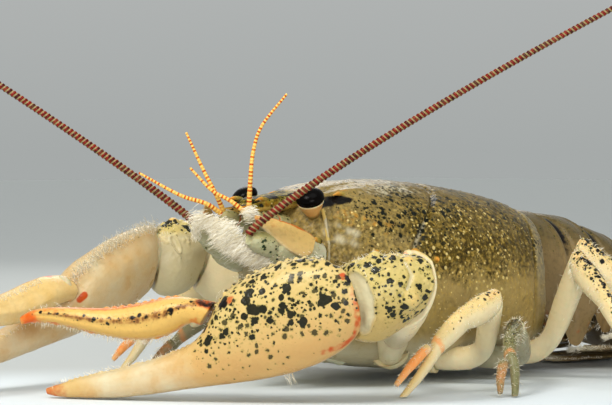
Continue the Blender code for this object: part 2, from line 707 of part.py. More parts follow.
def eye_rings(side, grow=0.0):
    """The dark cornea: a ball with a flat root on its stalk."""
    centre = mirrored(EYE_CENTRE, side)
    axis = eye_axis(side)
    first, second = frame_along(axis, Vector((0, 1, 0)))
    radius = EYE_RADIUS + grow
    rings = []
    for k in range(9):
        angle = math.radians(lerp(-38, 84, k / 8))
        ring_radius = radius * math.cos(angle)
        middle = centre + axis * radius * math.sin(angle)
        rings.append([middle + (first * math.cos(a) + second * math.sin(a)) * ring_radius
                      for a in (math.tau * j / FINE_SIDES for j in range(FINE_SIDES))])
    return rings


def stalk_rings(side, grow=0.0):
    centre = mirrored(EYE_CENTRE, side)
    root = mirrored(STALK_ROOT, side)
    top = centre - eye_axis(side) * (EYE_RADIUS * math.sin(math.radians(38)) + GAP - grow)
    points = [root.lerp(top, s) for s in (0.0, 0.35, 0.7, 1.0)]
    sizes = [(r, r) for r in (STALK_RADIUS, STALK_RADIUS * 1.05, STALK_RADIUS * 1.12, 1.2)]
    return tube_rings(points, sizes, Vector((0, 1, 0)), LIMB_SIDES, grow=grow)


def ball(name, centre, radii):
    bm = bmesh.new()
    bmesh.ops.create_uvsphere(bm, u_segments=20, v_segments=12, radius=1.0)
    bmesh.ops.scale(bm, vec=radii, verts=bm.verts)
    bmesh.ops.translate(bm, vec=centre, verts=bm.verts)
    return add_object(name, bm, SPARE_COLOUR)


def shell_spines(side):
    """Spines beside the rostrum, behind the eye, on the cheek and at the groove."""
    out = []
    rows = [((2.1, -20.6, 21.9), (2.6, -23.0, 21.9), 0.55),
            ((5.4, -11.4, 22.2), (5.9, -14.4, 22.5), 0.75),
            ((8.6, -8.5, 18.3), (9.8, -10.4, 18.5), 0.7),
            ((9.9, -6.0, 15.8), (11.6, -7.6, 15.9), 0.7),
            ((9.4, -10.0, 15.4), (10.9, -11.9, 15.4), 0.65),
            ((9.3, -10.6, 12.4), (10.8, -12.5, 12.3), 0.6),
            ((10.9, -4.0, 12.6), (12.3, -5.6, 12.5), 0.6)]
    for base, tip, radius in rows:
        out.append(spine(mirrored(base, side), mirrored(tip, side), radius))
    return out


def coxa_stub(coxa, knee, radius):
    """The short root of a leg, which belongs to the thorax."""
    direction = (knee - coxa).normalized()
    inner = Vector((coxa.x * 0.45, coxa.y + 0.4, coxa.z + 0.9))
    points = [inner, coxa - direction * 1.0, coxa]
    sizes = [(radius * 0.9, radius * 0.9), (radius, radius), (radius * 0.95, radius * 0.9)]
    return closed_mesh(tube_rings(points, sizes, Vector((0, 0, 1)), LIMB_SIDES))


def tail_fan():
    """Telson and two pairs of uropods, tucked forward under the tail."""
    halves = [(0.0, 2.8), (1.0, 3.7), (4.0, 4.2), (8.0, 4.0), (8.5, 3.6), (11.0, 3.4), (12.6, 2.2),
              (13.0, 0.9)]
    telson = [(distance, -half, half) for distance, half in halves]
    rings = plate_rings(Vector((0, 44.0, 0.5)), Vector((0, -1, 0)), Vector((1, 0, 0)), telson, 1.0)
    add_object("telson", closed_mesh(rings), FAN_COLOUR)
    blade = [(0.0, -0.9, 0.9), (1.2, -1.4, 1.6), (4.0, -2.6, 2.9), (8.0, -3.1, 3.5), (10.6, -2.7, 3.1),
             (12.4, -1.5, 1.9), (13.0, -0.6, 0.7)]
    # Each leaf: its root, the way it points and the way it spreads
    leaves = {"inner": ((5.7, 41.8, 1.45), (0.15, -1, 0.06), (1, 0.1, 0.12)),
              "outer": ((8.3, 41.4, 3.7), (0.45, -1, 0.08), (1, 0.4, 0.30))}
    for side, side_name in SIDES:
        rows = blade if side > 0 else [(distance, -high, -low) for distance, low, high in blade]
        for leaf, shape in leaves.items():
            root, heading, across = (mirrored(value, side) for value in shape)
            rings = plate_rings(root, heading, across, rows, 0.8)
            add_object(f"uropod_{leaf}_{side_name}", closed_mesh(rings), FAN_COLOUR)


def swimmerets(k):
    """A pair of small paddles under one ring of the tail."""
    out = []
    middle = (Vector((0, *BELLY[k])) + Vector((0, *BELLY[k + 1]))) / 2
    for side in (1, -1):
        root = middle + Vector((4.6 * side, 0, 0.8))
        tip = root + Vector((0.5 * side, -2.4, -3.4))
        points = [root, root.lerp(tip, 0.5), tip]
        sizes = [(0.6, 0.8), (0.55, 1.0), (0.3, 0.5)]
        out.append(closed_mesh(tube_rings(points, sizes, Vector((0, 1, 0)), FEELER_SIDES)))
    return out


def build_body():
    """The carapace and thorax in one piece, cut where the limbs leave it."""
    body = add_object("carapace", closed_mesh(body_rings()), SHELL_COLOUR)
    parts = [closed_mesh(rostrum_rings())]
    cutters = []
    for side in (1, -1):
        parts += shell_spines(side)
        coxa, elbow, wrist = ARMS[side][:3]
        parts.append(coxa_stub(coxa, elbow, ARM_STUB_RADIUS))
        cutters.append(closed_mesh(arm_rings(coxa, elbow, wrist, GAP)))
        for points in (LEFT_LEGS if side > 0 else RIGHT_LEGS).values():
            coxa, hip, knee, ankle = (Vector(p) for p in points[:4])
            parts.append(coxa_stub(coxa, hip, LEG_STUB_RADIUS))
            cutters.append(closed_mesh(upper_leg_rings(coxa, hip, knee, ankle, GAP)))
        cutters.append(closed_mesh(antenna_base_rings(side, GAP)))
        cutters.append(closed_mesh(mouth_leg_rings(side, GAP)))
        cutters.append(closed_mesh(stalk_rings(side, GAP)))
        cutters.append(closed_mesh(eye_rings(side, GAP)))
    cutters.append(closed_mesh(abdomen_rings(0, GAP)))
    boolean(body, [add_object(f"joined_{k}", bm, SPARE_COLOUR) for k, bm in enumerate(parts)], "UNION")
    tools = [add_object(f"cutter_{k}", bm, SPARE_COLOUR) for k, bm in enumerate(cutters)]
    for side in (1, -1):
        tools.append(antennule(side, f"cutter_antennule_{side}", GAP))
        orbit = mirrored(EYE_CENTRE + ORBIT_OFFSET, side)
        tools.append(ball(f"orbit_{side}", orbit, ORBIT_RADII))
    boolean(body, tools, "DIFFERENCE")


def build_arm(side, side_name):
    coxa, elbow, wrist, tip, up = ARMS[side]
    hand = Hand(wrist, tip, up, side)
    hand_objects(side_name, hand)
    add_object("claw_arm_" + side_name, closed_mesh(arm_rings(coxa, elbow, wrist)), ARM_COLOUR)
    block = closed_mesh(wrist_block_rings(coxa, elbow, hand))
    add_object("claw_wrist_" + side_name, block, PALM_COLOUR)


def build_legs(side, side_name):
    for name, points in (LEFT_LEGS if side > 0 else RIGHT_LEGS).items():
        coxa, hip, knee, ankle, root, tip = (Vector(p) for p in points)
        opening = mirrored(OPENING[name], side) if name in OPENING else None
        upper = closed_mesh(upper_leg_rings(coxa, hip, knee, ankle))
        lower = closed_mesh(lower_leg(hip, knee, ankle, root, tip, opening, SLENDER.get(name, 1.0)))
        finger = closed_mesh(leg_finger(ankle, root, tip, opening))
        add_object(f"{name}_upper_{side_name}", upper, LEG_COLOUR)
        add_object(f"{name}_lower_{side_name}", lower, LEG_COLOUR)
        add_object(f"{name}_tip_{side_name}", finger, LEG_TIP_COLOUR)


def build_head(side, side_name):
    """The feelers with their scale, the eye on its stalk and the folded mouth leg."""
    base = closed_mesh(antenna_base_rings(side))
    base = add_object("antenna_base_" + side_name, base, FEELER_BASE_COLOUR)
    cutters = [add_object("feeler_cut", closed_mesh(flagellum_rings(side, GAP)[:4]), SPARE_COLOUR),
               add_object("scale_cut", closed_mesh(scale_rings(side, GAP)), SPARE_COLOUR)]
    boolean(base, cutters, "DIFFERENCE")
    add_object("antenna_" + side_name, closed_mesh(flagellum_rings(side)), FEELER_COLOUR)
    antennule(side, "antennule_" + side_name)
    add_object("antennal_scale_" + side_name, closed_mesh(scale_rings(side)), SCALE_COLOUR)
    add_object("maxilliped_" + side_name, closed_mesh(mouth_leg_rings(side)), MOUTH_COLOUR)
    add_object("eye_" + side_name, closed_mesh(eye_rings(side)), EYE_COLOUR, EYE_ROUGHNESS)
    add_object("eyestalk_" + side_name, closed_mesh(stalk_rings(side)), STALK_COLOUR)


def build_tail():
    for k in range(6):
        ring = add_object(f"abdomen_{k + 1}", closed_mesh(abdomen_rings(k)), TAIL_COLOUR)
        if k in PADDLED_RINGS:
            paddles = [add_object(f"paddle_{j}", bm, SPARE_COLOUR) for j, bm in enumerate(swimmerets(k))]
            boolean(ring, paddles, "UNION")
    tail_fan()


def build():
    for obj in list(bpy.data.objects):
        bpy.data.objects.remove(obj)
    for side, side_name in SIDES:
        build_arm(side, side_name)
        build_legs(side, side_name)
        build_head(side, side_name)
    build_tail()
    build_body()
    stand_on_origin()


def stand_on_origin():
    """Move the whole animal so that the middle of its box's underside is the origin."""
    bpy.context.view_layer.update()
    meshes = [obj for obj in bpy.context.scene.objects if obj.type == "MESH"]
    corners = [v.co for obj in meshes for v in obj.data.vertices]
    low = Vector([min(c[axis] for c in corners) for axis in range(3)])
    high = Vector([max(c[axis] for c in corners) for axis in range(3)])
    shift = Vector((-(low.x + high.x) / 2, -(low.y + high.y) / 2, -low.z))
    for obj in meshes:
        obj.data.transform(Matrix.Translation(shift))
    print("moved by", [round(value / MM, 3) for value in shift])


build()
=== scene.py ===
# %% [markdown]
# # A crayfish, dressed
# The imported model gives a crayfish of plain solids, each in its true place. This lesson gives
# every one of them its shell: the fine surface, the markings, the bristles and the light.
# First the solids are loaded as a fixed frame.

import math

import bmesh
import bpy
import numpy as np
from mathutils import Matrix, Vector, kdtree, noise


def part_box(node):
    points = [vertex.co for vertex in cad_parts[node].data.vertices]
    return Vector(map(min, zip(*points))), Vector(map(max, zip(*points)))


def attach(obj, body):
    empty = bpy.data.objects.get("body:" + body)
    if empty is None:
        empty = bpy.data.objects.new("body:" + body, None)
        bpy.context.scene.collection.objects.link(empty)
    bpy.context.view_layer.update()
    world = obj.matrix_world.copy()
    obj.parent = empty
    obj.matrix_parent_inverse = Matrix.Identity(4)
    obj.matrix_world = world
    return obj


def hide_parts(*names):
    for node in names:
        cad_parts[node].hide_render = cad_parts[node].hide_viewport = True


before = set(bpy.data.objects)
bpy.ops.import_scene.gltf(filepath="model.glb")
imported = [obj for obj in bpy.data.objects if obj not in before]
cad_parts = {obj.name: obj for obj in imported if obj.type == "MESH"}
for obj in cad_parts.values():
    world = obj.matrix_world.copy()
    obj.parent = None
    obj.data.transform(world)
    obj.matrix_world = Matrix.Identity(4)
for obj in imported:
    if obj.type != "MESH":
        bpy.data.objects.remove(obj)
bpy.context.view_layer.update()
bpy.ops.object.select_all(action="DESELECT")
print("nodes in the frame:", len(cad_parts))

# %% [markdown]
# ## The animal's own millimetres
# A crayfish is easier to describe from the middle of its own shell than from the middle of a
# box round its feelers. The telson's root lies 44 mm behind that middle, which ties the two
# together. All places below are in those millimetres: the head points along -Y and the left
# side is +X. Arrays of points are used, because a fine shell has tens of thousands of them.

# %% Places and arrays of points
MM = 0.001
TELSON_REAR = 44.0
telson_low, telson_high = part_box("telson")
HOME = np.array(((telson_low.x + telson_high.x) / 2, telson_high.y - TELSON_REAR * MM, 0.0))


def at(x, y, z):
    """A place of the animal, in metres of the frame."""
    return Vector(HOME) + Vector((x, y, z)) * MM


def places(piece):
    flat = np.empty(len(piece.data.vertices) * 3)
    piece.data.vertices.foreach_get("co", flat)
    return (flat.reshape(-1, 3) - HOME) / MM


def put(piece, points):
    piece.data.vertices.foreach_set("co", (points * MM + HOME).ravel())
    piece.data.update()


def normals(piece):
    flat = np.empty(len(piece.data.vertices) * 3)
    piece.data.vertices.foreach_get("normal", flat)
    return flat.reshape(-1, 3)


def vec(*values):
    return np.array(values, float)


def unit(vectors):
    return vectors / np.maximum(np.linalg.norm(vectors, axis=-1, keepdims=True), 1e-9)


# %% [markdown]
# Most markings are made of four soft shapes: a step, a bell, a line with some width and a blot.
# Each gives a number between 0 and 1 for every point.

# %% Soft shapes
def ease(value, low, high):
    """0 below low, 1 above high and a soft step between; low may be the larger one."""
    t = np.clip((value - low) / (high - low), 0.0, 1.0)
    return t * t * (3 - 2 * t)


def bell(offset, width):
    """1 where an offset is 0, fading on both sides of it."""
    return np.exp(-(offset / width) ** 2)


def most(*values):
    """The largest of several arrays or numbers, point by point."""
    return np.maximum.reduce(np.broadcast_arrays(*values))


def near(points, a, b, radius):
    """1 on the line from a to b, fading to 0 at a radius."""
    a, b = np.array(a, float), np.array(b, float)
    line = b - a
    t = np.clip((points - a) @ line / max(line @ line, 1e-9), 0, 1)
    return ease(np.linalg.norm(points - a - t[:, None] * line, axis=1), radius, radius * 0.25)


def band(points, line, radius):
    """1 on a line through several places, fading to 0 at a radius."""
    return most(*[near(points, a, b, radius) for a, b in zip(line, line[1:])])


def blots(points, centres, radii):
    """1 in round blots about some centres, each with its own radius."""
    return most(*[near(points, c, c, r) for c, r in zip(centres, radii)])


print("soft shapes: ease, bell, near, band and blots")


# %% Ways, ripples and sides
def along(points, a, b):
    """How far points lie from a to b: 0 at a and 1 at b."""
    line = np.array(b, float) - np.array(a, float)
    return (points - np.array(a, float)) @ line / (line @ line)


def square_to(vector, way):
    """The part of a vector that is square to a way, made 1 long."""
    return unit(vector - way * (vector @ way))


def upon(points, outward, start, end, steps, way):
    """For each step from start to end, the place on a skin that faces most in a way."""
    t = along(points, start, end)
    facing = outward @ unit(np.array(way, float))
    return np.array([points[np.argmax(facing - 25 * np.abs(t - k))] for k in steps])


def ripple(points, size, seed=0.0):
    """Smooth noise between -1 and 1, with lumps of a size in millimetres."""
    return np.array([noise.noise(Vector(p) / size + Vector((seed, seed, seed))) for p in points])


def roughen(piece, *ripples):
    """Move a skin out and in by ripples, each of a height, a size and a seed."""
    points = places(piece)
    lift = sum(height * ripple(points, size, seed) for height, size, seed in ripples)
    put(piece, points + normals(piece) * lift[:, None])


SIDES = {"left": vec(1, 1, 1), "right": vec(-1, 1, 1)}
print("home of the animal in the frame, mm:", np.round(HOME / MM, 2))

# %% [markdown]
# ## The camera
# The photograph looks slightly down on the animal from its front left, from far away with a
# long lens: the near feeler and the far claw hardly differ in scale. The camera stands level
# with the top of the shell, so it is tilted by about a degree and not shifted.

# %% Camera
PHOTO_WIDTH = 612
PHOTO_HEIGHT = 405
FOCAL_PIXELS = 2464.0
HORIZON_ROW = 150.0
CAMERA_HEIGHT = 27.3
EYE = vec(5.5, -17.0, 21.85)
EYE_DISTANCE = 280.0
SIDE_STEP = 0.45
VIEW_WAY = unit(vec(-0.719, 0.695, 0.0))
VIEW_RIGHT = unit(vec(0.695, 0.719, 0.0))

spot = EYE - VIEW_WAY * EYE_DISTANCE - VIEW_RIGHT * SIDE_STEP
tilt = math.atan((PHOTO_HEIGHT / 2 - HORIZON_ROW) / FOCAL_PIXELS)
look = Vector((VIEW_WAY[0] * math.cos(tilt), VIEW_WAY[1] * math.cos(tilt), -math.sin(tilt)))
bpy.ops.object.camera_add(location=at(spot[0], spot[1], CAMERA_HEIGHT),
                          rotation=look.to_track_quat("-Z", "Y").to_euler())
camera = bpy.context.object
camera.name = "camera"
camera.data.sensor_width = 36.0
camera.data.lens = FOCAL_PIXELS / PHOTO_WIDTH * camera.data.sensor_width
camera.data.clip_start = 0.01
bpy.context.scene.camera = camera
bpy.context.scene.view_settings.view_transform = "Standard"
print("lens", round(camera.data.lens, 1), "mm")

# %% [markdown]
# ## A workshop for finishes
# A material is a tree of nodes. Written node by node it is long and hard to read, so a socket
# is wrapped in a small class that understands Python's arithmetic: `1 - mask * 2` then adds
# the Math nodes by itself. Colours are mixed by a Mix node. Patterns read the object's
# coordinates in millimetres, or marks that are stored on the points of the mesh.

# %% Sockets that can be added and multiplied
class Wire:
    """The output of a node, which can be added and multiplied."""

    def __init__(self, finish, socket):
        self.finish = finish
        self.socket = socket

    def math(self, operation, other, swap=False):
        pair = {0: other, 1: self} if swap else {0: self, 1: other}
        return self.finish.node("ShaderNodeMath", {"operation": operation}, pair)

    def __add__(self, other):
        return self.math("ADD", other)

    def __sub__(self, other):
        return self.math("SUBTRACT", other)

    def __rsub__(self, other):
        return self.math("SUBTRACT", other, swap=True)

    def __mul__(self, other):
        return self.math("MULTIPLY", other)

    __radd__ = __add__
    __rmul__ = __mul__

    def clip(self):
        return self.finish.node("ShaderNodeClamp", {}, {"Value": self})

    def step(self, low, high):
        """A soft step from 0 to 1 between two values, which may be wires too."""
        return self.finish.node("ShaderNodeMapRange", {"interpolation_type": "SMOOTHSTEP"},
                                {"Value": self, "From Min": low, "From Max": high})


# %% A finish and its patterns
def ink(red, green, blue):
    """A colour as it looks on screen, 0 to 255, as the linear values that shaders use."""
    return tuple(((c / 255 + 0.055) / 1.055) ** 2.4 if c > 10 else c / 255 / 12.92
                 for c in (red, green, blue)) + (1.0,)


COAT_ROUGHNESS = 0.12
GLOW_DEPTH = 0.0006


class Finish:
    """One material, with the patterns that paint it."""

    def __init__(self, name, coat=0.0, subsurface=0.0, specular=0.3):
        self.material = bpy.data.materials.new(name)
        self.material.use_nodes = True
        self.tree = self.material.node_tree
        self.shader = self.tree.nodes["Principled BSDF"]
        settings = {"Coat Weight": coat, "Coat Roughness": COAT_ROUGHNESS, "Specular IOR Level": specular,
                    "Subsurface Weight": subsurface, "Subsurface Scale": GLOW_DEPTH}
        for key, value in settings.items():
            self.shader.inputs[key].default_value = value
        place = self.node("ShaderNodeTexCoord", {}, {}, "Object")
        self.mm = self.vector("SCALE", {0: place, "Scale": 1 / MM})

    def node(self, kind, settings, sockets, output=0):
        """Add a node: its settings first, then what goes into its sockets."""
        made = self.tree.nodes.new(kind)
        for key, value in settings.items():
            setattr(made, key, value)
        for key, value in sockets.items():
            if isinstance(value, Wire):
                self.tree.links.new(value.socket, made.inputs[key])
            else:
                made.inputs[key].default_value = value
        return Wire(self, made.outputs[output])

    def vector(self, operation, sockets, output=0):
        return self.node("ShaderNodeVectorMath", {"operation": operation}, sockets, output)

    def mark(self, name):
        """A mark stored on the points of the mesh; 0 where a piece hasn't got it."""
        return self.node("ShaderNodeAttribute", {"attribute_name": name}, {}, "Fac")

    def noise(self, size, detail=2.0, output=0):
        """Clouds of a size in millimetres, between 0 and 1."""
        sockets = {"Vector": self.mm, "Scale": 1 / size, "Detail": detail, "Roughness": 0.55}
        return self.node("ShaderNodeTexNoise", {}, sockets, output)

    def mix(self, share, first, second):
        """Colour first where share is 0, and second where it is 1."""
        return self.node("ShaderNodeMix", {"data_type": "RGBA"}, {0: share, 6: first, 7: second}, 2)

    def warped(self, amount, size):
        """Coordinates shaken by noise, so that cells lose their even outlines."""
        shake = self.noise(size, 1.0, output=1)
        centred = self.vector("SUBTRACT", {0: shake, 1: (0.5, 0.5, 0.5)})
        return self.vector("ADD", {0: self.mm, 1: self.vector("SCALE", {0: centred, "Scale": amount})})

    def cells(self, gap, where):
        """Distance to the middle of the nearest cell, and that cell's own random number."""
        voronoi = self.node("ShaderNodeTexVoronoi", {}, {"Vector": where, "Scale": 1 / gap})
        own = Wire(self, voronoi.socket.node.outputs["Color"])
        return voronoi, self.node("ShaderNodeSeparateColor", {}, {0: own})

    def spots(self, gap, largest, density):
        """Ragged spots, about gap millimetres apart and of mixed sizes, and a halo round them."""
        distance, lot = self.cells(gap, self.warped(gap * 0.45, gap * 0.4))
        reach = lot * density * largest
        here = density.step(0.02, 0.1)
        spot = (1 - distance.step(reach * 0.9, reach * 0.9 + 0.05)) * here
        return spot, (1 - distance.step(reach, reach + 0.16)) * here

    def bump(self, height, depth, over=None):
        """Raise the surface by depth millimetres where height is 1."""
        sockets = {"Height": height, "Distance": depth * MM}
        if over:
            sockets["Normal"] = over
        return self.node("ShaderNodeBump", {}, sockets)

    def feed(self, **sockets):
        """Send values or wires to the shader, and give back the finished material."""
        names = {"colour": "Base Color", "roughness": "Roughness", "normal": "Normal"}
        for key, value in sockets.items():
            if isinstance(value, Wire):
                self.tree.links.new(value.socket, self.shader.inputs[names[key]])
            else:
                self.shader.inputs[names[key]].default_value = value
        return self.material


# %% [markdown]
# ## Shell, as a crayfish wears it
# The shell is horn: a pale base, darker towards the back, clouded by noise, with three kinds
# of marks on top. Small raised grains are cream, ragged spots are black-green, and warm
# orange sits at spines, rims and hinges. How much of each a place gets is a mark on the
# mesh, so one function makes the shell of every part from its own few colours.

# %% Colours of the shell
BLACK_GREEN = ink(8, 15, 9)
CREAM = ink(232, 208, 138)
RUST = ink(196, 84, 18)
BONE_WHITE = ink(206, 202, 176)
OLIVE = ink(122, 108, 44)
GOLD = ink(178, 148, 70)
BARK = ink(52, 41, 12)
DEEP = ink(9, 5, 3)
NIGHT = (0.0, 0.0, 0.0, 1.0)


def shell_finish(name, flank, back, grain=CREAM, spot=BLACK_GREEN, gap=1.1, largest=0.45,
                 warm=RUST, pale=BONE_WHITE, roughness=0.3, subsurface=0.04, mottle=0.5,
                 pepper_gap=0.0, dot_gap=0.0, halo=OLIVE, flecks=0.5, specular=0.2):
    """Shell from flank to back, with spots of two sizes; pepper and dots come where a gap is set."""
    f = Finish(name, coat=0.04, subsurface=subsurface, specular=specular)
    cloud = f.noise(2.6, 3.0)
    fleck = f.noise(0.55, 3.0)
    rising = (f.mark("back") + (cloud - 0.5) * mottle).clip()
    colour = f.mix(rising, flank, back)
    # A darker copy of the colour, used only for the shell's own dark flecks.
    fleck_dark = f.mix(0.5, colour, NIGHT)
    flecked = fleck.step(0.46, 0.72) * (0.5 + cloud) * flecks * (0.4 + 0.6 * rising)
    colour = f.mix(flecked, colour, fleck_dark)
    if dot_gap:
        speckle = f.noise(0.5, 2.0)
        here = f.mark("dots") * 0.75 + 0.25
        colour = f.mix(speckle.step(0.52, 0.64) * here * 0.6, colour, GOLD)
        colour = f.mix(speckle.step(0.48, 0.38) * here * rising.step(0.1, 0.6), colour, BARK)
    paleness = (f.mark("pale") * 1.25 + (cloud - 0.5) * 0.5).clip()
    colour = f.mix(paleness.step(0.2, 0.9), colour, pale)
    warmth = (f.mark("warm") * 1.3 + (fleck - 0.5) * 0.6).clip()
    colour = f.mix(warmth.step(0.25, 0.9), colour, warm)
    grains = f.mark("grains")
    if dot_gap:
        distance, lot = f.cells(dot_gap, f.mm)
        reach = (0.35 + 0.65 * lot) * f.mark("dots") * 0.4
        grains = (grains + 1 - distance.step(reach * 0.7, reach + 0.06)).clip()
        grains = grains * f.mark("dots").step(0.02, 0.12)
    density = f.mark("spots")
    mask, around = f.spots(gap, largest, density)
    small, ring = f.spots(gap * 0.5, largest * 0.8, density)
    mask = (mask + small + f.mark("blot").step(0.48, 0.64)).clip()
    around = (around + ring).clip()
    if pepper_gap:
        pepper, ring = f.spots(pepper_gap, largest, f.mark("pepper"))
        mask, around = (mask + pepper * 0.85).clip(), (around + ring).clip()
    colour = f.mix(around * 0.55, colour, halo)
    colour = f.mix(grains * (0.55 + 0.45 * cloud), colour, grain)
    colour = f.mix(mask * 0.97, colour, spot)
    dark = (f.mark("dark") * 1.3 + (fleck - 0.5) * 0.7).clip()
    colour = f.mix(dark.step(0.3, 0.8), colour, DEEP)
    skin = f.bump(f.noise(0.3, 2.0), 0.03)
    skin = f.bump(fleck + grains * 0.8, 0.06, skin)
    dull = (roughness + (cloud - 0.5) * 0.25 - grains * 0.06).clip()
    return f.feed(colour=colour, roughness=dull, normal=skin)


# %% [markdown]
# The colours are given as they look on screen. What a part doesn't name stays as above.

# %% Finishes of the parts
FINISHES = {
    "carapace": dict(flank=(156, 134, 80), back=(86, 69, 18), grain=(222, 198, 126), pale=(178, 168, 138),
                     halo=(66, 58, 20), warm=(190, 130, 36), gap=0.88, largest=0.56, pepper_gap=0.52,
                     dot_gap=0.7, mottle=0.9, flecks=0.75, specular=0.12),
    "rostrum": dict(flank=(206, 172, 92), back=(112, 100, 30), warm=(214, 132, 30), pale=(190, 170, 110),
                    halo=(84, 74, 22), gap=0.8, largest=0.6, specular=0.03, roughness=0.5, dot_gap=0.6),
    "palm": dict(flank=(196, 154, 94), back=(202, 176, 112), warm=(186, 74, 18), halo=(132, 122, 58),
                 gap=0.95, largest=0.62, pepper_gap=0.85, flecks=0.12, mottle=0.9),
    "carpus": dict(flank=(180, 152, 90), back=(192, 172, 104), pale=(196, 184, 146), halo=(120, 112, 44),
                   warm=(226, 170, 84), gap=0.9, largest=0.62, flecks=0.3),
    "finger": dict(flank=(206, 162, 84), back=(212, 176, 98), warm=(204, 88, 16), pale=(224, 202, 152),
                   gap=0.7, largest=0.5, flecks=0.25),
    "arm": dict(flank=(222, 206, 164), back=(198, 178, 104), gap=0.8, subsurface=0.15, flecks=0.15),
    "leg": dict(flank=(224, 206, 162), back=(214, 188, 126), warm=(238, 154, 82), gap=0.6, largest=0.8,
                subsurface=0.15, flecks=0.15),
    "grey_leg": dict(flank=(146, 138, 106), back=(116, 114, 76), warm=(206, 138, 84), gap=0.5, largest=0.8,
                     subsurface=0.15),
    "tail": dict(flank=(140, 116, 76), back=(88, 74, 38), gap=0.8, largest=0.55, flecks=0.8),
    "base": dict(flank=(180, 178, 142), back=(160, 150, 92), spot=(28, 48, 32), halo=(124, 122, 70),
                 gap=0.6, largest=0.5, subsurface=0.15),
    "scale": dict(flank=(196, 166, 106), back=(206, 170, 98), warm=(186, 96, 20), gap=1.4,
                  subsurface=0.1, flecks=0.45),
    "mouth": dict(flank=(190, 188, 158), back=(160, 156, 112), gap=0.7, subsurface=0.15),
}
FINISH_NAMES = {"palm": "claw", "carpus": "knuckle", "base": "feeler_base"}
finishes = {}
for part, settings in FINISHES.items():
    settings = {key: ink(*value) if isinstance(value, tuple) else value for key, value in settings.items()}
    finishes[part] = shell_finish(FINISH_NAMES.get(part, part) + "_shell", **settings)
print("shell finishes:", len(finishes))

# %% [markdown]
# ## Tools for the skins
# Two ways give a fine skin. A limb's solid is already the right shape, so a copy of it is
# merged, turned back into four-sided faces, creased at its rims and smoothed by a
# Subdivision Surface modifier. The large shells follow formulas, so they are lofted from
# many rings of points, which no stack of hand tools would place as evenly. Grains and teeth
# are then raised on either kind by moving the points near their middles outwards.

# %% Refine a solid
RIM_ANGLE = math.radians(50)


def only(piece):
    """Select one piece and make it the active one."""
    bpy.ops.object.select_all(action="DESELECT")
    piece.select_set(True)
    bpy.context.view_layer.objects.active = piece


def refined(node, levels, rim=0.75, swell=0.0):
    """A smooth copy of a solid, swollen by some millimetres to make up for the smoothing."""
    piece = bpy.data.objects.new(node + "_skin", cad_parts[node].data.copy())
    bpy.context.scene.collection.objects.link(piece)
    piece.data.materials.clear()
    only(piece)
    bpy.ops.mesh.customdata_custom_splitnormals_clear()
    bpy.ops.object.mode_set(mode="EDIT")
    bpy.ops.mesh.select_all(action="SELECT")
    bpy.ops.mesh.remove_doubles(threshold=0.00001)
    bpy.ops.mesh.tris_convert_to_quads(face_threshold=RIM_ANGLE, shape_threshold=math.radians(179))
    bpy.ops.object.mode_set(mode="OBJECT")
    edges = bmesh.new()
    edges.from_mesh(piece.data)
    crease = edges.edges.layers.float.new("crease_edge")
    for edge in edges.edges:
        if edge.is_manifold and edge.calc_face_angle(0.0) > RIM_ANGLE:
            edge[crease] = rim
    edges.to_mesh(piece.data)
    edges.free()
    smooth = piece.modifiers.new("smooth", "SUBSURF")
    smooth.levels = levels
    smooth.render_levels = levels
    bpy.ops.object.modifier_apply(modifier="smooth")
    bpy.ops.object.shade_smooth()
    put(piece, places(piece) + normals(piece) * swell)
    return piece


# %% Loft rings of points
def lofted(name, rings):
    """Skin an array of rings (rings, points, 3) in millimetres and close both ends."""
    rows, around, _ = rings.shape
    ends = np.stack([rings[0].mean(axis=0), rings[-1].mean(axis=0)])
    points = np.concatenate([rings.reshape(-1, 3), ends])
    index = np.arange(rows * around).reshape(rows, around)
    turned = np.roll(index, -1, axis=1)
    sides = np.stack([index[:-1], turned[:-1], turned[1:], index[1:]], axis=-1).reshape(-1, 4)
    first = rows * around
    faces = sides.tolist()
    faces += [(turned[0, j], index[0, j], first) for j in range(around)]
    faces += [(index[-1, j], turned[-1, j], first + 1) for j in range(around)]
    mesh = bpy.data.meshes.new(name)
    mesh.from_pydata((points * MM + HOME).tolist(), [], faces)
    piece = bpy.data.objects.new(name, mesh)
    bpy.context.scene.collection.objects.link(piece)
    only(piece)
    bpy.ops.object.mode_set(mode="EDIT")
    bpy.ops.mesh.select_all(action="SELECT")
    bpy.ops.mesh.normals_make_consistent(inside=False)
    bpy.ops.object.mode_set(mode="OBJECT")
    bpy.ops.object.shade_smooth_by_angle(angle=RIM_ANGLE)
    return piece


def tube(points, tall, wide, around, up=(0, 0, 1)):
    """Rings across a line of points, taller along up than across it."""
    points = np.array(points, float)
    tall = np.broadcast_to(np.array(tall, float), (len(points),))
    wide = np.broadcast_to(np.array(wide, float), (len(points),))
    way = unit(np.gradient(points, axis=0))
    up = np.array(up, float)
    first = unit(up - way * (way @ up)[:, None])
    second = np.cross(way, first)
    angle = math.tau * (np.arange(around) + 0.5) / around
    return (points[:, None] + first[:, None] * (tall[:, None] * np.cos(angle))[..., None]
            + second[:, None] * (wide[:, None] * np.sin(angle))[..., None])


# %% Raise grains and store marks
def raise_grains(piece, middles, radii, heights):
    """Push the points near each middle outwards into a round grain, and say how far they are in one."""
    points, outward = places(piece), normals(piece)
    tree = kdtree.KDTree(len(points))
    for k, point in enumerate(points):
        tree.insert(point, k)
    tree.balance()
    lift = np.zeros(len(points))
    shown = np.zeros(len(points))
    for middle, radius, height in zip(middles, radii, heights):
        for _, k, distance in tree.find_range(middle, radius):
            swell = (1 - (distance / radius) ** 2) ** 2
            lift[k] = max(lift[k], height * swell)
            shown[k] = max(shown[k], swell)
    put(piece, points + outward * lift[:, None])
    return shown


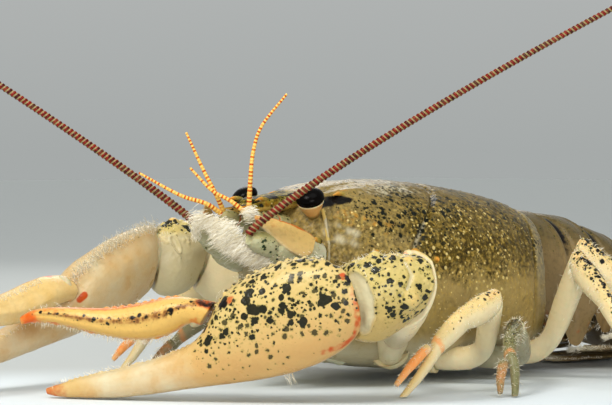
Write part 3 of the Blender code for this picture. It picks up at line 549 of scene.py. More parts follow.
def paint(piece, **marks):
    """Store marks on the points of a piece, as arrays or plain numbers, for its finish to read."""
    for name, values in marks.items():
        layer = piece.data.attributes.get(name) or piece.data.attributes.new(name, "FLOAT", "POINT")
        shares = np.clip(values, 0, 1) + np.zeros(len(layer.data))
        layer.data.foreach_set("value", shares.astype(np.float32))


# %% Register and join pieces
SKINS = {}


def wear(piece, finish, slot, *nodes):
    """Give a piece its finish, tie it to the body and let it stand for its solids."""
    piece.data.materials.clear()
    piece.data.materials.append(finish)
    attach(piece, "root")
    if nodes:
        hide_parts(*nodes)
        SKINS[nodes[0]] = piece
    return piece


def joined(name, pieces):
    """Join pieces into one, under the first one's place."""
    bpy.ops.object.select_all(action="DESELECT")
    for piece in pieces:
        piece.select_set(True)
    bpy.context.view_layer.objects.active = pieces[0]
    if len(pieces) > 1:
        bpy.ops.object.join()
    pieces[0].name = name
    return pieces[0]


# %% Smooth curves and balls
def curve(rows, x):
    """Smooth curves through a table of (x, value, ...) rows, read at an array of x."""
    table = np.array(rows, float)
    x = np.clip(np.array(x, float), table[0, 0], table[-1, 0])
    k = np.clip(np.searchsorted(table[:, 0], x, side="right") - 1, 0, len(table) - 2)
    low, high = table[k], table[k + 1]
    before, after = table[np.maximum(k - 1, 0)], table[np.minimum(k + 2, len(table) - 1)]
    span = high[..., :1] - low[..., :1]
    t = (x[..., None] - low[..., :1]) / span
    slope_low = (high - before) / (high[..., :1] - before[..., :1]) * span
    slope_high = (after - low) / (after[..., :1] - low[..., :1]) * span
    out = (low * (2 * t**3 - 3 * t**2 + 1) + slope_low * (t**3 - 2 * t**2 + t)
           + high * (3 * t**2 - 2 * t**3) + slope_high * (t**3 - t**2))
    return np.moveaxis(out[..., 1:], -1, 0)


def smooth_line(stops, count):
    """A smooth line of points through some stops."""
    return curve([(k, *stop) for k, stop in enumerate(stops)], np.linspace(0, len(stops) - 1, count)).T


def power(value, exponent):
    """A power that keeps the sign; it squares or pinches a round section."""
    return np.sign(value) * np.abs(value) ** exponent


def ball(place, way, radius, flat, segments, rings):
    """A ball, flattened along a way."""
    bpy.ops.object.select_all(action="DESELECT")
    turned = Vector(way).to_track_quat("Z", "Y").to_euler()
    bpy.ops.mesh.primitive_uv_sphere_add(segments=segments, ring_count=rings, radius=radius * MM,
                                         location=at(*place), rotation=turned)
    piece = bpy.context.object
    piece.scale = (1.0, 1.0, flat)
    bpy.ops.object.transform_apply(location=True, rotation=True, scale=True)
    return piece


# %% [markdown]
# ## The carapace
# One shield covers head and thorax. Its cross-section is a squared ellipse that changes along
# the body, and the rings lean forward on the flanks, as the cervical groove does. The skin is
# lofted from the same sections as the solid, some hundred times finer. Grains, the groove,
# the ridge behind the eye and the hollow that the eye sits in are worked into it in code.

# %% Loft the carapace
HEAD_FRONT = -18.0
SHELL_REAR = 21.0
GROOVE_AT = 4.0
GROOVE_DEPTH = 0.5
SHELL_ROWS = 318
SHELL_AROUND = 300
SWEEP = [(HEAD_FRONT, 0.0), (-8.0, 6.0), (GROOVE_AT, 10.5), (13.0, 6.2), (SHELL_REAR, 3.5)]
BODY = [
    (-18.0, 4.6, 18.4, 13.6, 8.6), (-16.6, 6.9, 21.2, 13.4, 5.6), (-15.0, 8.1, 22.6, 13.0, 4.0),
    (-12.0, 9.6, 23.3, 12.4, 2.8), (-7.0, 11.0, 23.7, 11.8, 2.0), (0.0, 12.0, 23.7, 11.0, 1.1),
    (8.0, 12.4, 22.9, 10.6, 1.0), (15.0, 11.7, 21.8, 10.4, 1.4), (19.0, 10.7, 20.8, 10.4, 2.4),
    (21.0, 9.9, 20.0, 10.4, 3.6),
]
ORBIT_OFFSET = vec(0.5, -0.9, -0.4)
ORBIT_RADII = vec(2.25, 2.4, 2.7)


def body_surface(station, angle, inset):
    """Points of the shield: angle is 90 degrees on the crest and 0 on the left flank."""
    across, rise = np.cos(angle), np.sin(angle)
    y = station - curve(SWEEP, station)[0] * np.abs(across) ** 2.4
    half, top, wide_level, bottom = curve(BODY, y)
    upper = rise > 0
    reach = np.where(upper, top - wide_level, wide_level - bottom)
    x = (half - inset) * power(across, np.where(upper, 0.86, 0.7))
    z = wide_level + (reach - inset) * power(rise, np.where(upper, 0.92, 0.78))
    return np.stack([x, y, z], axis=-1)


TURN_SHARES = [0, 0.05, 0.95, 1]
TURN_DEGREES = [-90, -35, 215, 270]
stations = np.linspace(HEAD_FRONT, SHELL_REAR, SHELL_ROWS)
turns = np.interp((np.arange(SHELL_AROUND) + 0.5) / SHELL_AROUND, TURN_SHARES, TURN_DEGREES)
station, angle = np.meshgrid(stations, np.radians(turns), indexing="ij")
on_top = ease(np.sin(angle), -0.55, -0.25)
groove = bell(station - GROOVE_AT, 0.42) * on_top
margin_groove = bell(station - (SHELL_REAR - 1.7), 0.28) * on_top
midline = bell(np.abs(np.abs(np.cos(angle)) - 0.17), 0.02) * ease(station, 5.0, 7.0) * (np.sin(angle) > 0)
inset = GROOVE_DEPTH * groove + 0.25 * margin_groove + 0.14 * midline
carapace = lofted("carapace_skin", body_surface(station, angle, inset))
print("carapace points:", len(carapace.data.vertices))

# %% Work the carapace
def dent(points, outward, centre, radii):
    """Move the points that lie in an egg-shaped hollow inwards, onto its far wall."""
    start = (points - centre) / radii
    way = -outward / radii
    a = (way * way).sum(axis=1)
    b = (start * way).sum(axis=1)
    c = (start * start).sum(axis=1) - 1
    travel = np.where(c < 0, (-b + np.sqrt(np.maximum(b * b - a * c, 0))) / a, 0)
    return points - outward * travel[:, None]


def folded(points):
    """The same places, all brought to the left side."""
    return points * np.where(points[:, :1] < 0, [[-1, 1, 1]], [[1, 1, 1]])


points, outward = places(carapace), normals(carapace)
side = folded(points)
MARGIN = [(6.0, -15.5, 20.6), (6.2, -15.3, 19.3), (6.7, -15.5, 18.0), (7.1, -15.6, 16.6),
          (7.3, -15.8, 15.1), (7.2, -16.0, 13.0)]
margin = band(side, MARGIN, 0.34)
ridge = near(side, (4.6, -14.0, 22.2), (5.2, -8.6, 23.0), 0.95)
keel = near(side, (2.9, -14.0, 22.9), (2.3, -7.0, 23.6), 0.8)
cheek = near(side, (9.2, -12.0, 14.6), (10.6, -6.6, 14.8), 2.0)
lift = 0.22 * ridge + 0.12 * keel + 0.25 * cheek + 0.28 * margin
lift += 0.09 * ripple(points, 2.4) + 0.03 * ripple(points, 0.7, 5.0)
points = points + outward * lift[:, None]
for flip in (SIDES["left"], SIDES["right"]):
    points = dent(points, outward, (EYE + ORBIT_OFFSET) * flip, ORBIT_RADII)
put(carapace, points)

GRAINS_TRIED = 5200
rng = np.random.default_rng(7)
where = points[rng.permutation(station.size)[:GRAINS_TRIED]]
flank_share = ease(where[:, 2], 5.0, 10.0) * (1 - 0.6 * ease(where[:, 2], 18.0, 22.0))
where = where[rng.random(len(where)) < flank_share * 0.8]
sizes = 0.20 + 0.12 * rng.random(len(where))
shown = raise_grains(carapace, where, sizes, sizes * 0.24)
print("grains on the carapace:", len(where))

# %% [markdown]
# The marks of the shield follow its places: how high a point lies, how far back, and how near
# to a ridge or a hollow. The spots crowd behind the eye and thin out towards the tail.

# %% Spots and dots of the carapace
SPOT_AREAS = [
    (1.15, (7.6, -9.5, 20.8), (9.9, -5.6, 18.2), 3.6), (1.1, (6.0, -4.0, 22.0), (9.0, -3.0, 19.6), 4.2),
    (1.0, (6.5, 3.0, 21.6), (9.5, 1.0, 18.4), 3.6), (0.85, (5.0, 8.0, 22.0), (9.0, 15.0, 17.5), 3.2),
    (0.7, (8.9, -11.0, 16.6), (10.4, -6.0, 15.6), 2.2),
]
points = places(carapace)
side = folded(points)
rear, height = side[:, 1], side[:, 2]
seam = np.append(groove.ravel(), [0, 0])
rim = np.append(ease(station.ravel(), 19.2, 19.7) * on_top.ravel(), [0, 0])
cloud = ripple(points, 3.0, 11.0)
grit = ripple(points, 0.6, 5.0)
patch = near(side, (7.3, -14.9, 18.2), (8.3, -13.0, 17.2), 2.1) * (0.52 + 0.6 * ripple(points, 1.1, 6.0))
patch = most(patch, 0.3 * near(side, (9.0, -9.5, 17.0), (10.2, -5.8, 16.4), 1.8))
spots = most(0.35 * ease(height, 17.0, 20.0) * ease(rear, -14.0, -8.0),
             0.9 * ease(rear, -12.0, -14.0) * ease(height, 20.0, 21.5),
             *[share * near(side, start, end, radius) for share, start, end, radius in SPOT_AREAS])
pepper = 0.9 * ease(height, 13.0, 17.0) * ease(rear, -14.0, -9.0) * (0.8 + 0.8 * cloud)
dotted = ease(rear, -9.0, -3.0) * (1 - 0.8 * ease(rear, 9.0, 15.0)) * ease(height, 8.0, 12.0)
dotted = dotted * (1 - ease(height, 19.5, 22.0)) * (0.85 + 0.5 * cloud)
dotted = most(dotted, 0.75 * near(side, (7.0, -12.0, 18.6), (10.0, -8.0, 14.0), 3.6),
              0.4 * ease(height, 5.0, 8.0) * (1 - ease(height, 20.0, 22.5)))
paint(carapace, spots=spots * (1 - 0.9 * patch), pepper=pepper * (1 - 0.8 * patch),
      dots=dotted * (1 - 0.6 * patch), grains=0.2 * shown)

# %% Colours of the carapace, with a painted highlight on the crest and painted light underneath
# How much of the shell's own dark olive back colour a place gets: more from the upper flanks up and towards
# the rear, less at the front, a little less on the very top.
dark_back = ease(height, 10.5, 15.0) * (0.75 + 0.25 * ease(height, 21.5, 18.0))
dark_back = dark_back * (0.55 + 0.45 * ease(rear, -9.0, -2.0)) + 0.25 * ease(rear, 12.0, 18.0)
# Painted highlight: a pale, broken streak along the crest, where light catches the top of the shell.
crest = 0.5 * ease(height, 21.0, 22.8) * (0.6 + 0.9 * cloud + 1.1 * grit) * ease(rear, -11.5, -7.5)
crest = crest * (1 - 0.65 * ease(rear, -2.0, 3.0))
seam_pale = seam * 0.75 * near(side, (9.4, -3.0, 19.6), (10.6, -6.6, 16.4), 2.6)
face = ease(rear, -16.2, -16.9) * ease(height, 19.0, 15.0)
# The shell's lower edge is paler: partly its own paler underside, partly painted light thrown up from the
# pale floor.
belly = 0.55 * ease(height, 7.5, 4.0)
gilt = near(side, (7.0, -13.6, 19.8), (9.0, -8.6, 18.4), 2.6) * (0.45 + 0.8 * grit)
trim = near(side, (4.4, -14.4, 22.6), (5.4, -9.6, 23.1), 0.6) * (0.6 + 0.9 * grit)
bar = most(near(side, (4.9, -14.9, 21.2), (5.7, -11.6, 21.4), 1.25),
           0.6 * near(side, (5.8, -11.5, 21.3), (6.0, -10.4, 21.4), 0.7))
bar = bar * (0.85 + 0.5 * ripple(points, 0.9))
boss = near(side, (10.7, -4.0, 14.6), (10.8, -3.6, 14.0), 1.5)
paint(carapace, back=dark_back + 0.3 * cloud, dark=most(bar, 0.6 * boss),
      warm=most(0.7 * trim, 0.2 * margin, 0.5 * gilt),
      pale=most(0.85 * patch, crest, belly, seam_pale, rim * 0.36, margin * 0.8, 0.6 * face))
wear(carapace, finishes["carapace"], "shell", "carapace")
print("carapace size, mm:", np.round(points.max(axis=0) - points.min(axis=0), 1))

# %% [markdown]
# ## Rostrum and spines
# Between the eyes the shell runs out into a rostrum: a trough with two raised margins, each
# ending in a spine, and a pointed tip. Its rings are lofted like the shield's. The spines of
# the cheeks are horns with a slight forward curve, and each is lofted from a line of points.

# %% Rostrum
ROSTRUM = [
    (-9.0, 2.6, 22.7), (-11.0, 3.2, 22.2), (-14.0, 3.5, 21.7), (-17.0, 3.05, 21.45), (-19.5, 2.7, 21.3),
    (-21.4, 2.35, 21.15), (-22.1, 1.5, 21.1), (-23.4, 0.75, 21.05), (-25.0, 0.16, 21.0),
]
ROSTRUM_STEPS = 110
ROSTRUM_AROUND = 72
forward = np.linspace(-ROSTRUM[0][0], -ROSTRUM[-1][0], ROSTRUM_STEPS)
half, level = curve([(-y, w, z) for y, w, z in ROSTRUM], forward)
turn = math.tau * np.arange(ROSTRUM_AROUND) / ROSTRUM_AROUND
across, rise = np.cos(turn), np.sin(turn)
rings = []
for y, w, z in zip(-forward, half, level):
    lip = 0.10 * w * bell(np.abs(across) - 0.93, 0.06) * (rise > 0)
    valley = -0.05 * w * bell(across, 0.35) * (rise > 0)
    dome, keel = 0.40 * w * ease(w, 0.3, 2.2), 0.95 * min(1.0, w / 1.4)
    tall = np.where(rise > 0, dome, keel) * rise + lip + valley
    rings.append(np.stack([w * power(across, 0.8), y + 0 * across, z + tall - 0.25], axis=-1))
rostrum = lofted("rostrum_skin", np.array(rings))
roughen(rostrum, (0.06, 1.1, 3.0))
points = places(rostrum)
edge = ease(np.abs(points[:, 0]) / np.interp(-points[:, 1], forward, half), 0.80, 0.96)
above = 1 - ease(normals(rostrum)[:, 2], 0.1, -0.4)
patchy = ripple(points, 1.6, 12.0)
blotchy = most(ease(patchy, 0.0, 0.2) * 0.5, ease(ripple(points, 0.8, 3.0), 0.12, 0.3) * 0.85)
paint(rostrum, back=0.2 + 0.8 * above, spots=(1.2 - 0.6 * edge) * (0.5 + 0.5 * above),
      warm=0.3 * ease(-points[:, 1], 21.5, 23.5) + 0.3 * edge * ease(patchy, 0.0, 0.4),
      dark=blotchy * above * (1 - 0.5 * edge), dots=0.6 * above, pale=0.2 * edge * above)
wear(rostrum, finishes["rostrum"], "shell")
print("rostrum points:", len(points))

# %% Spines
def horn(name, base, tip, radius):
    """A horn from its base to its tip, bent up a little."""
    t = np.linspace(0, 1, 14)[:, None]
    line = base + (tip - base) * t + vec(0, 0, 0.25) * np.sin(math.pi * t)
    taper = radius * (1 - t[:, 0] ** 1.6 * 0.94)
    return lofted(name, tube(line, taper, taper, 20, up=(0.3, 0.2, 1)))


SPINES = [
    ((2.1, -20.4, 21.5), (2.4, -22.6, 21.6), 0.32), ((4.9, -10.6, 21.9), (5.5, -13.4, 22.1), 0.38),
    ((7.2, -17.2, 16.9), (7.5, -18.6, 17.0), 0.42), ((10.1, -4.6, 14.9), (12.2, -6.6, 15.4), 0.85),
    ((9.4, -10.0, 15.2), (10.9, -11.9, 15.4), 0.6), ((9.3, -10.6, 12.2), (10.8, -12.5, 12.3), 0.55),
    ((10.9, -4.0, 12.4), (12.3, -5.6, 12.5), 0.6), ((10.9, -2.0, 14.2), (12.4, -2.9, 14.5), 0.5),
]
RIM_SHIFT = vec(0.12, -0.12, 0)
horns, rims = [], []
for flip in SIDES.values():
    for base, tip, radius in SPINES:
        base, tip = vec(*base) * flip, vec(*tip) * flip
        horns.append(horn("horn", base, tip, radius))
        share = along(places(horns[-1]), base, tip)
        paint(horns[-1], warm=0.45 * ease(share, 0.15, 0.7), back=1 - share,
              pale=0.4 * ease(share, 0.6, 0.95), dark=0.5 * ease(share, 0.25, 0.0))
    line = smooth_line([(vec(*stop) + RIM_SHIFT) * flip for stop in MARGIN], 60)
    rims.append(lofted("rim", tube(line, 0.2, 0.17, 16, up=(1, 1, 0))))
    paint(rims[-1], back=0.2, pale=0.4)
wear(joined("shell_spines", horns), finishes["rostrum"], "shell")
wear(joined("shell_front_rim", rims), finishes["rostrum"], "shell")
print("spines:", len(horns), "rims:", len(rims))

# %% [markdown]
# ## Eyes
# A crayfish's eye is a black cap on a short stalk. A ball is added, its lower part is cut away
# on the plane where the stalk's cup holds it, and the cup is a lofted bowl that narrows
# downwards. A pale rim runs round the seam. The black is not flat: the cap is covered with
# tiny facets, which soften its gloss.

# %% Eyes and stalks
EYE_RADIUS = 1.64
EYE_FLAT = 0.66
STALK_ROOT = vec(4.6, -15.3, 18.4)
CAP_CUT = 0.5
CUP_AROUND = 64
SEAT = EYE_RADIUS * math.cos(math.asin(CAP_CUT))
CUP_DROPS = [-0.1, 0.04, 0.06, -0.02, -0.35, -0.9, -1.4, -2.1, -3.2]
CUP_WIDTHS = [SEAT * 0.5, SEAT, SEAT + 0.07, SEAT + 0.10, SEAT * 0.98, SEAT * 0.80, SEAT * 0.60, 0.62, 0.6]

f = Finish("eye_black", coat=0.05, specular=0.02)
facets, _ = f.cells(0.11, f.mm)
eye_finish = f.feed(colour=f.mix(f.noise(0.8), ink(4, 3, 3), ink(12, 9, 8)),
                    roughness=0.16 + 0.1 * f.noise(0.6), normal=f.bump(facets, 0.012))

f = Finish("stalk_peach", coat=0.3, subsurface=0.35)
cloud = f.noise(0.9, 3.0)
tone = f.mix(cloud, ink(226, 178, 112), ink(196, 138, 72))
tone = f.mix((f.mark("pale") * 1.2).clip(), tone, ink(236, 206, 160))
tone = f.mix((f.mark("dark") + (cloud - 0.5) * 0.6).clip(), tone, ink(112, 84, 34))
stalk_finish = f.feed(colour=tone, roughness=0.3 + 0.15 * cloud, normal=f.bump(f.noise(0.25), 0.03))

for side_name, flip in SIDES.items():
    centre = EYE * flip
    axis = unit(centre - STALK_ROOT * flip)
    cap = ball(centre, axis, EYE_RADIUS, EYE_FLAT, 96, 64)
    cap.name = "eye_cap_" + side_name
    cut = centre - axis * CAP_CUT * EYE_RADIUS * EYE_FLAT
    bpy.ops.object.mode_set(mode="EDIT")
    bpy.ops.mesh.select_all(action="SELECT")
    bpy.ops.mesh.bisect(plane_co=at(*cut), plane_no=Vector(axis), use_fill=True, clear_inner=True)
    bpy.ops.object.mode_set(mode="OBJECT")
    bpy.ops.object.shade_smooth_by_angle(angle=RIM_ANGLE)
    wear(cap, eye_finish, "eye", "eye_" + side_name)
    drop, width = smooth_line(list(zip(CUP_DROPS, CUP_WIDTHS)), 60).T[:, :, None, None]
    turn = math.tau * np.arange(CUP_AROUND)[:, None] / CUP_AROUND
    first = unit(np.cross(axis, vec(0.2, 1, 0.1)))
    second = np.cross(axis, first)
    cup = lofted("eye_cup_" + side_name,
                 cut + axis * drop + (first * np.cos(turn) + second * np.sin(turn)) * width)
    sunk = (places(cup) - cut) @ axis
    paint(cup, pale=ease(sunk, -0.16, -0.02), dark=ease(sunk, -1.2, -1.9))
    wear(cup, stalk_finish, "limb_shell", "eyestalk_" + side_name)
print("eyes: 2")

# %% [markdown]
# ## The hands
# Each hand is one long palm that runs out into the fixed finger, and a moving finger hinged
# at its upper corner. The solids are refined, then marked in the hand's own axes: along it
# from the wrist, across it towards the moving finger, and outwards. Tubercles stand in a row
# on the upper margin, and both fingers carry small rounded teeth on the edges that meet.

# %% The hand's own axes
HAND_STRETCH = 35.4 / 35.8
ARMS = {
    "left": {"coxa": vec(7.0, -5.6, 4.2), "elbow": vec(23.1, -19.2, 12.4),
             "wrist": vec(19.0, -24.5, 10.5), "tip": vec(-8.2, -42.2, 1.1), "up": vec(0, 0, 1), "side": 1},
    "right": {"coxa": vec(-7.0, -5.6, 4.2), "elbow": vec(-17.4, -12.6, 14.4),
              "wrist": vec(-18.9, -19.4, 14.2), "tip": vec(-18.4, -52.0, 2.6), "up": vec(0.55, 0, 0.84),
              "side": -1},
}
PALM_EDGES = [
    (0.0, -3.4, 4.6, 2.6), (1.5, -4.4, 5.9, 3.0), (4.2, -5.2, 6.6, 3.3), (7.5, -5.5, 6.5, 3.4),
    (10.8, -5.3, 5.9, 3.3), (13.2, -5.0, 5.0, 3.1), (15.2, -4.7, 2.7, 2.8), (17.0, -4.4, 0.9, 2.5),
    (20.0, -4.0, 0.2, 2.1), (23.4, -3.6, 0.0, 1.9), (27.1, -3.1, 0.1, 1.6), (30.4, -2.3, 0.3, 1.3),
    (33.2, -1.5, 0.3, 0.9), (34.9, -0.9, 0.3, 0.55), (35.8, -0.4, 0.2, 0.25),
]
FINGER_EDGES = [
    (17.8, 3.0, 6.0, 2.0), (19.6, 2.2, 6.3, 2.1), (22.9, 2.3, 6.4, 2.0), (26.2, 3.5, 6.8, 1.7),
    (29.5, 5.2, 7.8, 1.4), (32.5, 6.9, 8.7, 1.1), (35.0, 7.8, 9.1, 0.75), (36.5, 7.8, 8.6, 0.35),
]
for arm in ARMS.values():
    arm["along"] = unit(arm["tip"] - arm["wrist"])
    arm["across"] = square_to(arm["up"], arm["along"])
    arm["outward"] = np.cross(arm["across"], arm["along"]) * arm["side"]


def hand_axes(arm, points):
    """Along the hand, across it and outwards, for an array of points."""
    start = points - arm["wrist"]
    return start @ arm["along"] / HAND_STRETCH, start @ arm["across"], start @ arm["outward"]


def hand_place(arm, x, y, z):
    """Places in the animal's millimetres from arrays in the hand's own axes."""
    x, y, z = (np.array(value, float)[..., None] for value in (x, y, z))
    return arm["wrist"] + arm["along"] * x * HAND_STRETCH + arm["across"] * y + arm["outward"] * z


print("hand's own axes:", {side_name: np.round(arm["along"], 2) for side_name, arm in ARMS.items()})

# %% [markdown]
# The palm gets two rows of knobs, a row of teeth and dark blots that were placed one by one.
# Its cuff, where it meets the wrist, is orange.

# %% Palms
BLOTS = [
    (11.7, -32.6, 11.2), (12.5, -32.4, 10.2), (12.9, -32.1, 9.9), (11.8, -33.0, 9.4), (15.6, -30.2, 12.5),
    (15.2, -30.7, 11.6), (19.0, -28.3, 11.0), (19.5, -27.9, 11.4), (20.0, -27.5, 10.7), (17.3, -29.5, 9.0),
    (16.2, -30.3, 9.8), (13.2, -31.7, 12.1), (11.9, -32.2, 12.0), (21.0, -26.6, 11.0),
]
BLOT_SIZES = [0.9, 1.05, 0.7, 0.7, 0.85, 0.65, 0.8, 0.75, 0.6, 0.8, 0.75, 0.7, 0.75, 0.5]
CUFF = ((21.7, -26.4, 12.6), (21.9, -26.0, 11.0), (21.6, -25.4, 9.0), (20.9, -25.0, 7.4),
        (19.8, -26.0, 6.2), (18.5, -27.3, 5.6))
KNOBS_ABOVE, KNOBS_BELOW = 15, 11
rng = np.random.default_rng(21)
for side_name, arm in ARMS.items():
    is_near = float(side_name == "left")
    palm = refined("claw_palm_" + side_name, 4, rim=0.6, swell=0.06)
    roughen(palm, (0.05, 1.8, 2.0), (0.02, 0.5, 7.0))
    steps = np.concatenate([np.linspace(1.2, 14.6, KNOBS_ABOVE), np.linspace(1.8, 13.8, KNOBS_BELOW)])
    row = np.concatenate([np.zeros(KNOBS_ABOVE), np.full(KNOBS_BELOW, 0.9)])
    knobs = hand_place(arm, steps, curve(PALM_EDGES, steps)[1] - 0.15 - row * 0.5, row)
    teeth_at = np.arange(18.6, 33.0, 0.62)
    teeth = hand_place(arm, teeth_at, curve(PALM_EDGES, teeth_at)[1], 0 * teeth_at)
    tooth_size = np.where(np.arange(len(teeth_at)) % 7 == 3, 0.62, 0.4)
    shown = raise_grains(palm, np.concatenate([knobs, teeth]),
                         np.concatenate([0.36 + 0.2 * rng.random(len(knobs)), tooth_size]),
                         np.concatenate([0.24 + 0.12 * rng.random(len(knobs)), tooth_size * 0.42]))
    points = places(palm)
    x, y, z = hand_axes(arm, points)
    cloud = ripple(points, 3.2, 1.0)
    on_palm = 1 - ease(x, 15.5, 19.5)
    cuff = is_near * band(points, CUFF, 0.9) * (0.75 + 0.6 * ripple(points, 0.7, 9.0))
    if is_near:
        in_hand = near(np.stack([x, y, z], axis=1), (16.4, 2.2, 1.4), (15.2, 4.6, 1.6), 0.9)
        corner = most(0.55 * near(points, (8.6, -33.6, 10.8), (9.9, -33.2, 11.1), 0.9), 0.4 * in_hand)
        spots = ease(y, -3.0, 1.0) * on_palm * (0.95 + 0.5 * cloud)
    else:
        corner = near(points, (-15.5, -32.9, 10.5), (-15.7, -33.4, 10.0), 0.7)
        spots = 0.6 * ease(y, 5.2, 6.2) * on_palm
    low_edge = ease(y, -3.2, -5.2) * on_palm
    knob = near(points, (20.4, -26.7, 13.9), (20.5, -26.6, 13.9), 0.8)
    knob = knob * (0.75 + 0.5 * ripple(points, 0.5, 2.0))
    smudge = 0.6 * is_near * corner * ease(z, 1.8, 0.6)
    smudge = smudge + 0.3 * cuff * ease(ripple(points, 0.4, 5.0), -0.2, 0.4)
    paint(palm, spots=spots, back=ease(y, -4.0, 4.0) * (0.3 + 0.7 * is_near),
          grains=0.4 * shown, pepper=0.7 * on_palm * ease(y, -5.4, -2.4) * is_near,
          blot=is_near * (blots(points, BLOTS, BLOT_SIZES) + 0.45 * ripple(points, 0.5, 8.0)),
          warm=most(0.5 * ease(x, 31.0, 35.5), corner, 0.62 * cuff, knob * is_near,
                    0.45 * low_edge * ease(cloud, 0.1, 0.5)),
          dark=most(smudge, is_near * near(points, (20.9, -26.4, 14.1), (21.1, -26.2, 13.7), 0.8),
                    is_near * 0.75 * near(points, (8.2, -33.8, 10.7), (9.3, -33.4, 10.6), 0.7)),
          pale=most(0.3 * ease(y, 4.6, 6.2) * on_palm, 0.35 * (1 - is_near),
                    0.42 * ease(x, 10.0, 24.0) * (1 - 0.6 * ease(x, 27.5, 35.0)) * (1 + 0.2 * cloud)))
    wear(palm, finishes["palm"], "claw_shell", "claw_palm_" + side_name)
print("palm points:", len(points))

# %% [markdown]
# A moving finger is a curved blade with two keels. A row of dark blots runs along it, smaller
# towards the tip, and the hinge is marked with orange and black.

# %% Moving fingers
FINGER_BLOTS = 19
for side_name, arm in ARMS.items():
    strength = 1.0 if side_name == "left" else 0.35
    finger = refined("claw_finger_" + side_name, 4, rim=0.6, swell=0.05)
    teeth_at = np.arange(20.6, 35.2, 0.6)
    teeth = hand_place(arm, teeth_at, curve(FINGER_EDGES, teeth_at)[0], 0 * teeth_at)
    tooth_size = np.where(np.arange(len(teeth_at)) % 6 == 2, 0.58, 0.38)
    steps = np.arange(18.4, 26.5, 0.9)
    knobs = hand_place(arm, steps, curve(FINGER_EDGES, steps)[1], 0 * steps)
    shown = raise_grains(finger, np.concatenate([teeth, knobs]),
                         np.concatenate([tooth_size, 0 * steps + 0.42]),
                         np.concatenate([tooth_size * 0.42, 0 * steps + 0.2]))
    points = places(finger)
    x, y, z = hand_axes(arm, points)
    low, high, _ = curve(FINGER_EDGES, x)
    level = (y - low) / np.maximum(high - low, 0.1)
    keels = bell(level - 0.62, 0.08) - 0.7 * bell(level - 0.42, 0.09)
    body = ease(x, 19.0, 21.0) * (1 - ease(x, 33.0, 36.0))
    put(finger, points + normals(finger) * (0.10 * keels * body)[:, None])
    cloud = ripple(points, 1.3, 4.0)
    if side_name == "left":
        hinge = most(near(points, (6.2, -33.9, 10.7), (7.8, -33.1, 10.5), 1.5),
                     0.85 * near(points, (6.0, -32.9, 9.6), (5.4, -32.9, 7.2), 0.9))
    else:
        hinge = near(np.stack([x, y, z], axis=1), (17.0, 4.2, 1.6), (17.6, 6.2, 0.8), 0.8)
    blot_at = 18.8 + 16.0 * np.linspace(0, 1, FINGER_BLOTS) ** 1.15
    low_at, high_at, thick_at = curve(FINGER_EDGES, blot_at)
    middle_at = low_at + (high_at - low_at) * (0.62 + 0.07 * np.sin(9 * blot_at))
    blot_size = 0.62 - 0.024 * np.arange(FINGER_BLOTS) + 0.16 * rng.random(FINGER_BLOTS)
    blotted = blots(points, hand_place(arm, blot_at, middle_at, thick_at * 0.8), blot_size)
    tip = ease(x, 31.5, 35.5) * (0.7 + 0.4 * cloud)
    row = bell(level - 0.60, 0.17) * ease(z, 0.4, 1.0)
    off_tip = row * (1 - tip)
    paint(finger, back=level, spots=0.9 * off_tip * strength, grains=0.5 * shown,
          dark=strength * most(blotted, 0.42 * off_tip, hinge * 0.7 * (0.8 + 0.5 * cloud)),
          warm=most(tip * 0.75, 0.5 * ease(level, 0.2, 0.0) * ease(cloud, -0.3, 0.4), 0.8 * hinge,
                    0.4 * off_tip, 0.5 * ease(level, 0.86, 1.0) * strength,
                    0.4 * ease(level, 0.5, 0.8) * ease(x, 27.0, 33.0)),
          pale=most(0.4 * ease(level, 0.75, 0.9) * (1 - 0.6 * strength), 0.6 * (1 - strength)))
    wear(finger, finishes["finger"], "claw_shell", "claw_finger_" + side_name)
print("finger points:", len(points))
